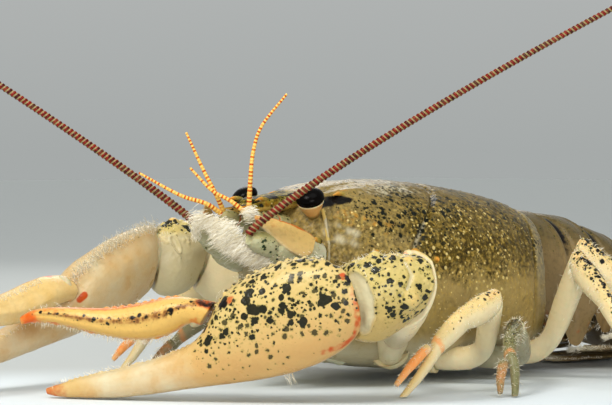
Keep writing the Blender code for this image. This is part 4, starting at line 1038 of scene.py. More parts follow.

# %% [markdown]
# ## Knuckles and arms
# Behind each palm comes the carpus, a stout yellow knuckle with black-green blotches and a
# few bosses, and behind that the arm. Where the palm swings outwards, the skin of the wrist
# shows as a broad pale crescent, and a narrow arc of it shows between knuckle and arm. Both
# are worked into the knuckle as smooth dished bands, and the crescent has a raised rim.

# %% Knuckles
CRESCENT = {"left": ((20.7, -25.9, 13.6), (21.7, -25.4, 12.8), (22.3, -25.0, 11.4), (22.2, -24.8, 9.8),
                     (21.4, -24.9, 8.4)),
            "right": ((-15.4, -19.4, 17.0), (-14.2, -19.0, 15.0), (-14.0, -18.8, 12.6))}
ELBOW_ARC = {"left": ((24.4, -21.2, 15.3), (25.5, -21.2, 14.0), (25.5, -21.9, 12.4)),
             "right": ((-14.4, -14.4, 17.2), (-13.6, -13.6, 15.4), (-13.6, -12.8, 13.6))}
BOSSES = {"left": ((25.7, -21.4, 11.3), (24.9, -21.0, 16.0), (21.4, -22.8, 15.9), (23.4, -22.0, 15.8)),
          "right": ((-14.2, -16.0, 18.4), (-17.6, -17.6, 19.2), (-20.8, -16.6, 18.6))}
KNUCKLE_GRAINS = 70
rng = np.random.default_rng(33)
for side_name, arm in ARMS.items():
    is_near = side_name == "left"
    bosses = BOSSES[side_name]
    knuckle = refined("claw_wrist_" + side_name, 4, rim=0.55, swell=0.08)
    points, outward = places(knuckle), normals(knuckle)
    crescent = band(points, CRESCENT[side_name], 1.6 if is_near else 0.9)
    edge_line = bell(crescent - 0.32, 0.22)
    arc = band(points, ELBOW_ARC[side_name], 0.42)
    lift = -0.32 * crescent + 0.22 * edge_line - 0.25 * arc
    lift += 0.09 * ripple(points, 1.6, 6.0) + 0.03 * ripple(points, 0.5, 8.0)
    put(knuckle, points + outward * lift[:, None])
    upper = points[(points[:, 2] > arm["wrist"][2] + 1.5) & (crescent < 0.1)]
    grain_at = upper[rng.permutation(len(upper))[:KNUCKLE_GRAINS]]
    shown = raise_grains(
        knuckle, np.concatenate([np.array(bosses), grain_at]),
        np.concatenate([np.linspace(1.5, 0.9, len(bosses)), np.full(len(grain_at), 0.42)]),
        np.concatenate([np.linspace(0.8, 0.4, len(bosses)), np.full(len(grain_at), 0.13)]))
    points = places(knuckle)
    height = points[:, 2]
    boss = blots(points, bosses, 1.3 - 0.2 * np.arange(len(bosses)))
    low = ease(height, arm["wrist"][2] - 0.8, arm["wrist"][2] - 2.2)
    strength = 1.0 if is_near else ease(height, 16.5, 18.0)
    plain = 0.0 if is_near else 0.6 * ease(height, 18.2, 16.8)
    paint(knuckle, back=ease(height, 8.0, 14.0), pale=most(crescent, 0.6 * arc, plain),
          spots=(1.0 - 1.4 * crescent - arc - 0.8 * low) * strength, warm=most(0.6 * boss, 0.2 * edge_line),
          dark=0.4 * bell(crescent - 0.2, 0.08), grains=0.35 * shown * (1 - crescent))
    wear(knuckle, finishes["carpus"], "claw_shell", "claw_wrist_" + side_name)

# %% [markdown]
# The arm behind the knuckle is a flattened bar with a row of low bosses on its upper edge and
# an orange ring near its root.

# %% Arms
ARM_BOSSES = 11
for side_name, arm in ARMS.items():
    limb = refined("claw_arm_" + side_name, 4, rim=0.6, swell=0.08)
    height = places(limb)[:, 2]
    roughen(limb, (0.06, 1.8, 9.0))
    t = along(places(limb), arm["coxa"], arm["elbow"])
    crest = ease(normals(limb)[:, 2], 0.3, 0.85)
    steps = np.linspace(0.45, 0.97, ARM_BOSSES)
    line = arm["coxa"] + (arm["elbow"] - arm["coxa"]) * steps[:, None]
    line[:, 2] += np.interp(steps, [0.4, 0.8, 1.0], [2.4, 3.7, 3.7])
    shown = raise_grains(limb, line, np.linspace(0.4, 0.75, ARM_BOSSES), np.linspace(0.25, 0.6, ARM_BOSSES))
    ring = bell(t - 0.35, 0.02)
    # The arm turns paler towards its lower side: painted light, standing for light thrown up from the pale
    # floor.
    paint(limb, back=crest, spots=crest * ease(t, 0.5, 0.75), warm=0.7 * shown + 0.4 * ring,
          dark=0.2 * ring, pale=0.25 * ease(height, 8.0, 4.0), grains=0.3 * shown)
    wear(limb, finishes["arm"], "limb_shell", "claw_arm_" + side_name)
print("knuckles and arms: 4")

# %% [markdown]
# ## Walking legs
# Four pairs, each in three lengths, follow one loop. The front two pairs end in small pincers,
# whose moving fingers are bright orange. Spots gather on the upper edges near the knees, and
# the third pair is greyer than the rest.

# %% Legs
LEGS = {
    "leg_2_left": ((7.6, 1.6, 2.6), (13.5, 3.4, 2.9), (19.5, -1.6, 9.8),
                   (19.1, -6.2, 8.2), (18.7, -10.6, 5.0), (18.2, -14.9, 0.0)),
    "leg_3_left": ((7.8, 7.6, 2.6), (13.2, 11.2, 2.4), (18.3, 3.7, 6.5),
                   (21.7, -1.0, 5.6), (24.0, -3.7, 3.7), (26.1, -5.3, 0.0)),
    "leg_4_left": ((8.2, 14.2, 2.6), (13.2, 15.4, 3.0), (21.9, 10.8, 13.8),
                   (26.9, 9.5, 10.2), (32.3, 8.6, 4.6), (35.2, 8.2, 0.0)),
    "leg_5_left": ((6.6, 18.6, 3.4), (10.0, 20.2, 3.8), (19.5, 14.8, 15.0),
                   (24.4, 17.2, 10.8), (29.2, 20.6, 4.7), (31.2, 22.4, 0.0)),
    "leg_2_right": ((-7.6, 1.6, 2.6), (-12.5, 1.4, 3.2), (-19.6, -7.0, 11.4),
                    (-25.6, -10.4, 8.2), (-29.4, -12.8, 3.6), (-31.2, -14.0, 0.0)),
    "leg_3_right": ((-7.8, 7.6, 2.6), (-12.6, 8.6, 2.8), (-18.2, 1.4, 9.8),
                    (-24.6, -3.6, 7.6), (-29.0, -7.2, 3.2), (-31.0, -9.0, 0.0)),
}
for name in ("leg_4", "leg_5"):
    LEGS[name + "_right"] = tuple((-x, y, z) for x, y, z in LEGS[name + "_left"])
PINCERS = ("leg_2", "leg_3")
SPOTTED = {"leg_2": 0.45, "leg_3": 1.0, "leg_4": 0.8, "leg_5": 1.0}
BLOT_GAP = 0.085
BLOT_STEPS = {"upper": np.arange(0.72, 0.97, BLOT_GAP), "lower": np.arange(0.02, 0.95, BLOT_GAP),
              "tip": np.arange(0.72, 0.97, BLOT_GAP)}
rng = np.random.default_rng(5)
for name, joints in LEGS.items():
    leg, side_name = name[:5], name[6:]
    coxa, hip, knee, ankle, root, tip = (vec(*joint) for joint in joints)
    view = vec(0.36 * np.sign(knee[0]), -0.35, 0.9)
    for part, start, end in (("upper", hip, knee), ("lower", knee, root), ("tip", root, tip)):
        node = f"{leg}_{part}_{side_name}"
        piece = refined(node, 3, rim=0.6, swell=0.05)
        roughen(piece, (0.04, 0.9, 3.0))
        points, outward = places(piece), normals(piece)
        t = along(points, start, end)
        top = ease(outward[:, 2], -0.1, 0.6)
        at_knee = near(points, knee, knee, 4.2)
        steps = BLOT_STEPS[part]
        centres = np.concatenate([upon(points, outward, start, end, steps, view + vec(0, 0, 0.9)),
                                  upon(points, outward, start, end, steps + 0.04, view - vec(0, 0, 0.35))])
        blotted = blots(points, centres, 0.24 + 0.34 * rng.random(len(centres)) ** 1.5)
        if leg in PINCERS:
            blotted = blotted * at_knee
        spots = SPOTTED[leg] * top * most(at_knee, 0.75 * (part == "lower"))
        if part == "upper":
            paint(piece, spots=spots, back=0.6 * top, warm=0.35 * at_knee * top,
                  pale=0.35 * ease(t, 0.6, 0.2))
        elif part == "lower":
            ring = np.exp(-(along(points, knee, ankle) - 1.0) ** 2 / 0.004)
            grasp = 0.5 * bell(t - 0.93, 0.05) * (leg in PINCERS)
            paint(piece, spots=spots * (1 - ease(t, 0.75, 0.9)), back=top,
                  warm=0.15 * ring + grasp + 0.3 * at_knee * top,
                  dark=most(0.25 * ring, blotted * (1 - ease(t, 0.8, 0.95))))
        else:
            hot = 0.62 if leg == "leg_2" else 0.45
            paint(piece, back=top, warm=hot * ease(t, -0.1, 0.25) * (1 - 0.3 * ease(t, 0.5, 1)))
        wear(piece, finishes["grey_leg" if leg == "leg_3" else "leg"], "limb_shell", node)
print("leg pieces:", 3 * len(LEGS))

# %% [markdown]
# ## Joints and leg roots
# Between two lengths of a limb there is soft white skin. Each joint gets a small cushion of
# it: a ball, flattened along the limb, that fills the gap and stays inside both rims. The
# legs' roots are short tubes that come out of the underside of the shield.

# %% Soft skin
f = Finish("joint_skin", subsurface=0.4)
cloud = f.noise(0.7, 3.0)
skin_finish = f.feed(colour=f.mix(cloud, ink(206, 196, 162), ink(176, 160, 118)),
                     roughness=0.4 + 0.2 * cloud, normal=f.bump(f.noise(0.35), 0.06))


def cushion(place, way, radius, flat=0.5):
    """A flattened ball of soft skin between two lengths of a limb."""
    piece = ball(place, way, radius, flat, 28, 16)
    bpy.ops.object.shade_smooth()
    return piece


def limb_root(name, coxa, following, width, wave):
    """A ringed tube that comes out of the shell and ends at the coxa."""
    inner = coxa * vec(0.45, 1, 1) + vec(0, 0.4, 0.9)
    line = smooth_line((inner, coxa - unit(following - coxa), coxa), 20)
    size = width + wave * np.sin(np.linspace(0, 9, 20))
    return lofted(name, tube(line, size, size, 28))


cushions, roots = [], []
for name, joints in LEGS.items():
    coxa, hip, knee, ankle, root, tip = (vec(*joint) for joint in joints)
    cushions.append(cushion(coxa, hip - coxa, 1.05))
    cushions.append(cushion(knee, unit(knee - hip) + unit(ankle - knee), 1.2, 0.7))
    if name[:5] not in PINCERS:
        cushions.append(cushion(root, tip - ankle, 0.66))
    roots.append(limb_root("leg_root", coxa, hip, 1.62, 0.12))
for arm in ARMS.values():
    coxa, elbow = arm["coxa"], arm["elbow"]
    cushions.append(cushion(coxa, elbow - coxa, 1.7))
    cushions.append(cushion(elbow, unit(elbow - coxa) + unit(arm["wrist"] - elbow), 2.7))
    cushions.append(cushion(arm["wrist"] + arm["across"] * 0.9, arm["along"] + arm["outward"] * 0.78,
                            2.5, 0.4))
    cushions.append(cushion(hand_place(arm, 16.4, 3.4, 0.0), arm["along"] * 0.8 + arm["across"], 1.5, 0.6))
    roots.append(limb_root("arm_root", coxa, elbow, 2.25, 0.15))
wear(joined("joint_skin", cushions), skin_finish, "limb_shell")
leg_roots = joined("leg_roots", roots)
paint(leg_roots, back=0.2, pale=0.3 + 0.3 * ripple(places(leg_roots), 2.0))
wear(leg_roots, finishes["leg"], "limb_shell")
print("cushions:", len(cushions), "roots:", len(roots))

# %% [markdown]
# ## Feelers
# A long feeler is a whip of some two hundred rings, each rust red with a narrow pale gap.
# The tube is lofted with six rings of points to each real ring, so it swells and pinches.
# How many rings lie between a point and the root is stored as a mark, and the finish reads
# its fraction to place red and cream. The short feelers are made the same way, in amber.

# %% Ringed finishes
def ringed_finish(name, ring, deep, gap, pale_share, wide):
    """Rings of two shades with pale gaps; some of the rings are paler than the rest."""
    f = Finish(name, coat=0.05, subsurface=0.05, specular=0.15)
    count = f.mark("rings")
    phase = f.node("ShaderNodeMath", {"operation": "FRACT"}, {0: count})
    cloud = f.noise(0.5, 2.0)
    mask = phase.step(0.02, 0.16) * (1 - phase.step(wide, wide + 0.16))
    tone = f.mix(cloud.step(0.35, 0.65), ring, deep)
    whole = f.node("ShaderNodeMath", {"operation": "FLOOR"}, {0: count})
    lot = f.node("ShaderNodeTexWhiteNoise", {"noise_dimensions": "1D"}, {"W": whole})
    mask = mask * (1 - pale_share * lot.step(0.5, 0.9))
    return f.feed(colour=f.mix(mask, gap, tone), roughness=0.3 + 0.2 * cloud,
                  normal=f.bump(f.noise(0.16), 0.02))


whip_finish = ringed_finish("feeler_rings", ink(124, 24, 6), ink(58, 8, 4), ink(142, 128, 84),
                            pale_share=0.08, wide=0.68)
lash_finish = ringed_finish("short_feeler_rings", ink(206, 104, 18), ink(186, 66, 8), ink(240, 196, 98),
                            pale_share=0.7, wide=0.5)
print("ringed finishes: 2")

# %% Ringed tubes
ROWS_PER_RING = 6


def measured(line):
    """The length of a line of points, and a function that gives its places at some distances."""
    line = np.array(line, float)
    steps = np.concatenate([[0], np.cumsum(np.linalg.norm(np.diff(line, axis=0), axis=1))])
    return steps[-1], lambda far: np.stack([np.interp(far, steps, line[:, k]) for k in range(3)], axis=1)


def whip(name, line, root_radius, tip_radius, ring_gap, around=12, swelling=0.12, slant=0.0):
    """A ringed tube along a smooth line of points, with the number of each ring as a mark."""
    length, place_at = measured(line)
    distance = np.linspace(0, length, int(length / ring_gap * ROWS_PER_RING))
    count = distance / ring_gap
    radius = root_radius + (tip_radius - root_radius) * (distance / length) ** 0.8
    radius = radius * (1 + swelling * np.cos(math.tau * (count - 0.38)))
    piece = lofted(name, tube(place_at(distance), radius, radius, around))
    turn = math.tau * (np.arange(around) + 0.5) / around
    number = (count[:, None] + slant * np.cos(turn)[None, :]).ravel()
    layer = piece.data.attributes.new("rings", "FLOAT", "POINT")
    layer.data.foreach_set("value", np.append(number, [number[0], number[-1]]).astype(np.float32))
    return piece


# %% Long feelers
FEELER_LENGTH = 96.0
FEELERS = {
    "left": {"root": vec(5.5, -26.6, 17.9), "way": vec(0.592, 0.613, 0.502), "bow": 2.1},
    "right": {"root": vec(-4.7, -25.6, 19.1), "way": vec(-0.573, -0.596, 0.55), "bow": 1.1},
}
FEELER_SAG = 2.4
t = np.linspace(0, 1, 160)
for side_name, feeler in FEELERS.items():
    rise = feeler["bow"] * np.sin(math.pi * t ** 0.6) - FEELER_SAG * t * t
    line = feeler["root"] + feeler["way"] * (0.05 + FEELER_LENGTH * t)[:, None]
    piece = whip("feeler_" + side_name, line + vec(0, 0, 1) * rise[:, None], 0.47, 0.2, 0.52, slant=0.22)
    wear(piece, whip_finish, "feeler", "antenna_" + side_name)
print("feeler points:", len(piece.data.vertices))

# %% [markdown]
# Each short feeler has a stalk of three lengths and two lashes, which curve up and apart.

# %% Short feelers
STALK = {"root": vec(1.7, -17.0, 18.6), "end": vec(2.1, -23.8, 19.9)}
LASHES = {
    "left": (((3.0, -23.9, 24.0), (3.2, -23.6, 27.3), (3.9, -22.9, 30.1), (5.8, -20.9, 33.6)),
             ((0.9, -24.9, 21.5), (-0.8, -26.4, 22.8), (-2.5, -28.1, 25.3))),
    "right": (((-2.7, -25.5, 21.2), (-4.9, -27.6, 22.2), (-8.0, -31.0, 24.7)),
              ((-1.9, -24.8, 22.4), (-2.9, -25.7, 25.0), (-4.3, -27.1, 29.3))),
}
STALK_SIZES = [(0, 1.2), (0.3, 1.15), (0.33, 0.95), (0.36, 1.05), (0.64, 0.95), (0.67, 0.76), (0.7, 0.86),
               (0.96, 0.66), (1.0, 0.3)]
t = np.linspace(0, 1, 60)
radius = curve(STALK_SIZES, t)[0]
for side_name, flip in SIDES.items():
    root, end = STALK["root"] * flip, STALK["end"] * flip
    line = root + (end - root) * t[:, None]
    stalk = lofted("short_feeler_stalk_" + side_name, tube(line, radius, radius, 32))
    share = along(places(stalk), root, end)
    joint = bell(share - 0.33, 0.02) + bell(share - 0.67, 0.02)
    facing_up = normals(stalk)[:, 2]
    paint(stalk, back=facing_up * 0.5 + 0.5, spots=ease(facing_up, 0.0, 0.6), warm=0.6 * joint)
    wear(stalk, finishes["base"], "limb_shell", "antennule_" + side_name)
    for k, lash in enumerate(LASHES[side_name]):
        start = root + (end - root) * (0.93 - 0.04 * k)
        piece = whip(f"short_feeler_{side_name}_{k + 1}", smooth_line([start, *lash], 60), 0.33, 0.14, 0.42,
                     around=10, swelling=0.06)
        wear(piece, lash_finish, "feeler")
print("short feelers:", 2 * len(LASHES))

# %% [markdown]
# ## The feelers' roots and scales
# Each long feeler grows from a stout root of several rings, and a leaf of shell, the
# antennal scale, guards it from above. The scale's outer edge is thick and orange, and its
# inner edge carries the long bristles that come later.

# %% Roots of the feelers
BASE_ROOT = vec(6.1, -17.4, 15.1)
BASE_SIZES = [(-0.06, 2.0), (0.1, 2.2), (0.3, 2.12), (0.345, 1.7), (0.38, 1.8), (0.6, 1.72), (0.645, 1.3),
              (0.68, 1.42), (0.88, 1.22), (0.95, 0.95), (1.0, 0.62)]
t = np.linspace(-0.06, 1.0, 90)
radius = curve(BASE_SIZES, t)[0]
for side_name, flip in SIDES.items():
    root, end = BASE_ROOT * flip, FEELERS[side_name]["root"] + vec(-0.1, 0.3, -0.5) * flip
    piece = lofted("feeler_root_" + side_name, tube(root + (end - root) * t[:, None], radius, radius, 64))
    roughen(piece, (0.08, 1.1, 2.0), (0.04, 0.4, 4.0))
    points = places(piece)
    share = along(points, root, end)
    joint = bell(share - 0.345, 0.02) + bell(share - 0.645, 0.02)
    paint(piece, spots=0.8 * ease(ripple(points, 1.6, 9.0), -0.1, 0.4),
          back=ease(normals(piece)[:, 2], -0.2, 0.9), pale=0.5 * ease(share, 0.4, 0.0),
          warm=0.1 * joint, dark=0.4 * joint)
    wear(piece, finishes["base"], "limb_shell", "antenna_base_" + side_name)

# %% [markdown]
# A scale is a thin leaf: at each distance along it, two numbers say where its edges lie.

# %% Antennal scales
SCALE_ROOT = vec(8.4, -19.2, 16.9)
SCALE_TIP = vec(-0.3, 1.2, 1.5)
SCALE_LENGTH = 7.8
SCALE_EDGES = [(0.0, -1.5, 0.5), (0.8, -2.1, 0.9), (3.0, -1.95, 1.2), (5.4, -1.1, 1.1), (6.8, -0.35, 0.9),
               (SCALE_LENGTH, 0.3, 0.72)]
SCALE_ACROSS = vec(-0.35, 0.0, 0.9)


def leaf(root, way, across, face, far, low, high, thick, relief, around):
    """Rings of a flat leaf of shell; relief(blade, belly) makes it thicker along some lines."""
    turn = math.tau * np.arange(around) / around
    blade, belly = power(np.cos(turn), 0.8), power(np.sin(turn), 0.7)
    half, middle = (high - low) / 2, (high + low) / 2
    thick = thick * np.minimum(1, half / 0.8)
    return (root + way * far[:, None, None] + across * (middle[:, None] + half[:, None] * blade)[..., None]
            + face * (thick[:, None] * belly * relief(blade, belly))[..., None])


t = np.linspace(0, 1, 70)
low, high = curve([(d / SCALE_LENGTH, a, b) for d, a, b in SCALE_EDGES], t)
for side_name, flip in SIDES.items():
    root, tip = SCALE_ROOT * flip, FEELERS[side_name]["root"] + SCALE_TIP * flip
    way = unit(tip - root)
    across = square_to(SCALE_ACROSS * flip, way)
    length = np.linalg.norm(tip - root)
    rings = leaf(root, way, across, np.cross(way, across), t * length, low, high, 0.34,
                 lambda blade, belly: 1 + 1.2 * (0.22 * bell(blade - 0.86, 0.12)), 56)
    piece = lofted("antennal_scale_skin_" + side_name, rings)
    points = places(piece)
    far = (points - root) @ way
    level = (points - root) @ across - np.interp(far / length, t, low)
    level = level / np.interp(far / length, t, high - low)
    roughen(piece, (0.03, 0.8, 0.0))
    paint(piece, back=level, pale=0.4 * ease(level, 0.15, 0.0), dark=0.15 * ease(level, 0.93, 1.0),
          warm=most(0.6 * ease(level, 0.86, 0.96), 0.3 * ease(far, 6.4, 7.6))
          + 0.3 * ease(ripple(points, 1.2, 6.0), 0.0, 0.4))
    wear(piece, finishes["scale"], "limb_shell", "antennal_scale_" + side_name)
print("feeler roots and scales: 4")

# %% [markdown]
# ## Mouth legs
# Under the head the third pair of mouth legs is folded forward like a pair of hands. Each is
# one bent tube, with a groove at every joint.

# %% Mouth legs
MOUTH_LINE = [(3.0, -9.5, 3.4), (3.4, -12.5, 4.6), (3.5, -16.0, 6.8), (3.3, -19.2, 9.6), (2.9, -20.6, 9.2),
              (2.4, -20.9, 7.6), (2.1, -20.3, 5.9)]
MOUTH_SIZE = [1.3, 1.4, 1.45, 1.15, 0.92, 0.72, 0.42]
MOUTH_AROUND = 36
steps = np.linspace(0, len(MOUTH_LINE) - 1, 110)
size = curve(list(enumerate(MOUTH_SIZE)), steps)[0]
joint = sum(bell(steps - k, 0.07) for k in (3.1, 4.1, 5.1))
for side_name, flip in SIDES.items():
    line = smooth_line([vec(*stop) * flip for stop in MOUTH_LINE], 110)
    piece = lofted("mouth_leg_" + side_name,
                   tube(line, size * (1 - 0.16 * joint), size * 0.92, MOUTH_AROUND, up=(0, 0.6, 1)))
    roughen(piece, (0.05, 0.9, 1.0))
    paint(piece, back=normals(piece)[:, 2] * 0.5 + 0.5,
          spots=0.35 * ease(ripple(places(piece), 1.5), 0.0, 0.4),
          warm=0.3 * np.append(np.repeat(joint, MOUTH_AROUND), [0, 0]))
    wear(piece, finishes["mouth"], "mouth_shell", "maxilliped_" + side_name)
print("mouth legs:", len(SIDES))

# %% [markdown]
# ## The tail
# Six rings of shell, each sliding under the one before it, bend the tail down and forward.
# Each ring is lofted from its own sections. The fan under them is made of five leaves with a
# ridge along the middle and a fringe of short bristles.

# %% Tail rings
CREST = [(18.9, 19.4), (24.6, 19.7), (30.4, 18.9), (36.2, 16.9), (43.2, 13.6), (46.0, 7.2), (44.4, 0.95)]
BELLY = [(17.2, 8.4), (24.0, 7.4), (30.2, 7.6), (35.8, 9.2), (38.4, 8.6), (39.2, 6.7), (38.5, 4.9)]
TAIL_HALF = [8.8, 9.3, 9.6, 9.4, 8.9, 8.2, 7.0]
FLAP = [1.5, 4.6, 4.0, 2.6, 2.2, 1.8]
TAIL_STEPS = 44


def tail_section(crest, belly, half, flap, shrink):
    """One closed section of the tail: an arch, two flaps that hang at its sides, and the belly."""
    height = np.linalg.norm(crest - belly)
    up = (crest - belly) / height
    rim = half - shrink
    turn = math.pi * np.arange(49) / 48
    arch = np.stack([rim * power(np.cos(turn), 0.8),
                     0.3 * height + (0.7 * height - shrink) * power(np.sin(turn), 0.95)], axis=1)
    under = np.array([
        (rim * 0.98, 0.12 * height), (rim - 0.12, -flap * 0.25), (rim - 0.3, -flap * 0.6),
        (rim - 0.75, -flap), (rim - 1.1, -flap * 0.5), (rim - 1.4, 0.1 * height * min(1.0, flap / 1.5)),
        (half * 0.5, 0.03 * height), (0.0, 0.0)])
    outline = np.concatenate([arch, under * (-1, 1), under[-2::-1]])
    return belly + up * outline[:, 1:] + vec(1, 0, 0) * outline[:, :1]


tail_steps = np.linspace(0.02, 0.985, TAIL_STEPS)
for k in range(6):
    crest_a, crest_b = vec(0, *CREST[k]), vec(0, *CREST[k + 1])
    belly_a, belly_b = vec(0, *BELLY[k]), vec(0, *BELLY[k + 1])
    rings = []
    for t in tail_steps:
        half = TAIL_HALF[k] + (TAIL_HALF[k + 1] - TAIL_HALF[k]) * t
        swell = math.sin(math.pi * min(max((t - 0.1) / 1.1, 0.0), 1.0))
        shrink = 0.55 * (1 - swell) * (1 - 0.5 * t)
        shrink += 0.25 * bell(t - 0.3, 0.05) - 0.14 * bell(t - 0.93, 0.05)
        flap = FLAP[k] * max(0.0, math.sin(math.pi * t ** 0.8)) ** 1.2 + 0.1
        rings.append(tail_section(crest_a + (crest_b - crest_a) * t, belly_a + (belly_b - belly_a) * t,
                                  half, flap, shrink))
    piece = lofted(f"tail_ring_{k + 1}", np.array(rings))
    roughen(piece, (0.05, 1.5, k), (0.02, 0.5, k))
    points = places(piece)
    t = np.append(np.repeat(tail_steps, len(rings[0])), [0, 1])
    top = ease(normals(piece)[:, 2], 0.0, 0.8)
    low_side = ease(points[:, 2], (crest_a[2] + belly_a[2]) / 2 + 1.0, belly_a[2])
    # Painted shade: the top of each ring is darkened at its front, where it slides under the ring before
    # it.
    paint(piece, back=top, dark=0.75 * top * ease(t, 0.34, 0.12), pale=0.25 * ease(t, 0.9, 0.98),
          warm=0.3 * low_side * ease(ripple(points, 1.5, 8.0), -0.2, 0.5), spots=0.5 * top)
    wear(piece, finishes["tail"], "tail_shell", f"abdomen_{k + 1}")

# %% [markdown]
# Four pairs of short soft paddles, the swimming legs, hang under the rings. Only a few of them
# can be seen between the flaps.

# %% Swimming legs
paddles = []
for y in (20.5, 25.5, 30.5, 35.0):
    level = np.interp(y, [17.2, 24.0, 30.2, 35.8], [8.6, 7.8, 8.0, 9.2])
    for flip in SIDES.values():
        stops = [vec(5.4, y, level), vec(6.2, y - 0.6, level - 2.0), vec(6.4, y - 2.0, level - 3.8),
                 vec(5.6, y - 3.6, max(level - 5.0, 3.4))]
        wide = 0.5 + 1.1 * np.sin(np.linspace(0.2, 3.0, 40)) ** 0.8
        line = smooth_line([stop * flip for stop in stops], 40)
        paddle = lofted("paddle", tube(line, wide, 0.35, 24, up=(0, 1, 0.4)))
        points = places(paddle)
        paint(paddle, back=0.1, warm=0.35 * ease(ripple(points, 1.2), 0.0, 0.5),
              pale=0.3 * ease(ripple(points, 1.6, 4.0), 0.0, 0.5))
        paddles.append(paddle)
wear(joined("swimming_legs", paddles), finishes["tail"], "tail_shell")
print("swimming legs:", len(paddles))

# %% [markdown]
# The fan is one leaf in the middle, the telson, with two at each side. They overlap.

# %% Tail fan
FAN_LENGTH = 13.0
FAN_AROUND = 72
FAN = {
    "telson": {"root": vec(0, 44.0, 0.5), "way": vec(0, -1, 0), "across": vec(1, 0, 0), "thick": 0.5,
               "edge": [(0.0, -2.8, 2.8), (1.0, -3.7, 3.7), (4.0, -4.2, 4.2), (8.0, -4.0, 4.0),
                        (8.5, -3.6, 3.6), (11.0, -3.4, 3.4), (12.6, -2.2, 2.2), (FAN_LENGTH, -0.9, 0.9)]},
}
BLADE = [(0.0, -0.9, 0.9), (1.2, -1.4, 1.6), (4.0, -2.6, 2.9), (8.0, -3.1, 3.5), (10.6, -2.7, 3.1),
         (12.4, -1.5, 1.9), (FAN_LENGTH, -0.6, 0.7)]
for name, root, way, across in (("inner", (5.7, 41.8, 1.45), (0.15, -1, 0.06), (1, 0.1, 0.12)),
                                ("outer", (8.3, 41.4, 3.7), (0.45, -1, 0.08), (1, 0.4, 0.30))):
    for side_name, flip in SIDES.items():
        edge = BLADE if side_name == "left" else [(d, -b, -a) for d, a, b in BLADE]
        FAN[f"uropod_{name}_{side_name}"] = {"root": vec(*root) * flip, "way": unit(vec(*way) * flip),
                                             "across": vec(*across) * flip, "thick": 0.4, "edge": edge}


def fan_relief(blade, belly):
    """A keel along the middle of the upper side, and a weaker one near each edge."""
    return 0.75 + 0.5 * bell(blade, 0.10) * (belly > 0) + 0.25 * bell(np.abs(blade) - 0.8, 0.08)


far = np.linspace(0, FAN_LENGTH, 90)
for name, part in FAN.items():
    part["across"] = square_to(part["across"], part["way"])
    face = np.cross(part["way"], part["across"])
    face = face * np.sign(face[2] or 1)
    low, high = curve(part["edge"], far)
    rings = leaf(part["root"], part["way"], part["across"], face, far, low, high, part["thick"], fan_relief,
                 FAN_AROUND)
    rings[..., 2] = np.maximum(rings[..., 2], 0.0)
    piece = lofted(name + "_skin", rings)
    share = np.append(np.repeat(far / FAN_LENGTH, FAN_AROUND), [0, 1])
    paint(piece, back=1 - share, spots=0.5 * (1 - share), warm=0.2 * share,
          pale=0.4 * ease(share, 0.8, 1.0))
    wear(piece, finishes["tail"], "tail_shell", name)
print("tail pieces:", 6 + len(FAN))

# %% [markdown]
# ## Bristles
# Short pale hairs fringe the mouth, the claws' edges, the legs and the fan. Each is a closed
# three-sided thorn. Its root lies on a skin, it leans with its clump, and it droops a little.
# Its patch of the bake map sits where its root lies on an unwrap of the body: along the body
# one way and round it the other.

# %% Finish of the bristles
f = Finish("bristle_pale", specular=0.2)
hair_tone = f.mix(f.mark("tone"), ink(254, 251, 240), ink(216, 202, 164))
# The hairs glow a little: painted light, standing for the light that shines through them from behind.
f.shader.inputs["Emission Strength"].default_value = 0.07
f.shader.inputs["Emission Color"].default_value = ink(250, 244, 226)
bristle_finish = f.feed(colour=hair_tone, roughness=0.45 + 0.1 * f.mark("tone"))
print("finish of the hairs:", bristle_finish.name)

# %% Roots of bristles
HAIR_ROWS = np.array([0.0, 0.3, 0.6, 0.85])
HAIR_POINTS = 13
CLUMP_SIZE = 14
BATCH = 400
PATCH = 0.003


def strewn(line, count, spread, rng):
    """Roots strewn along a line of points, with some spread about it."""
    length, place_at = measured(line)
    roots = place_at(rng.random(count) * length)
    return roots + rng.normal(size=(count, 3)) * spread


def picked(node, count, weigh, rng):
    """Roots and outward ways at random points of a skin, where weigh(points, outward) is high."""
    points, outward = places(SKINS[node]), normals(SKINS[node])
    share = np.clip(weigh(points, outward), 0, None)
    chosen = rng.choice(len(points), count, p=share / share.sum())
    return points[chosen] - outward[chosen] * 0.05, outward[chosen]


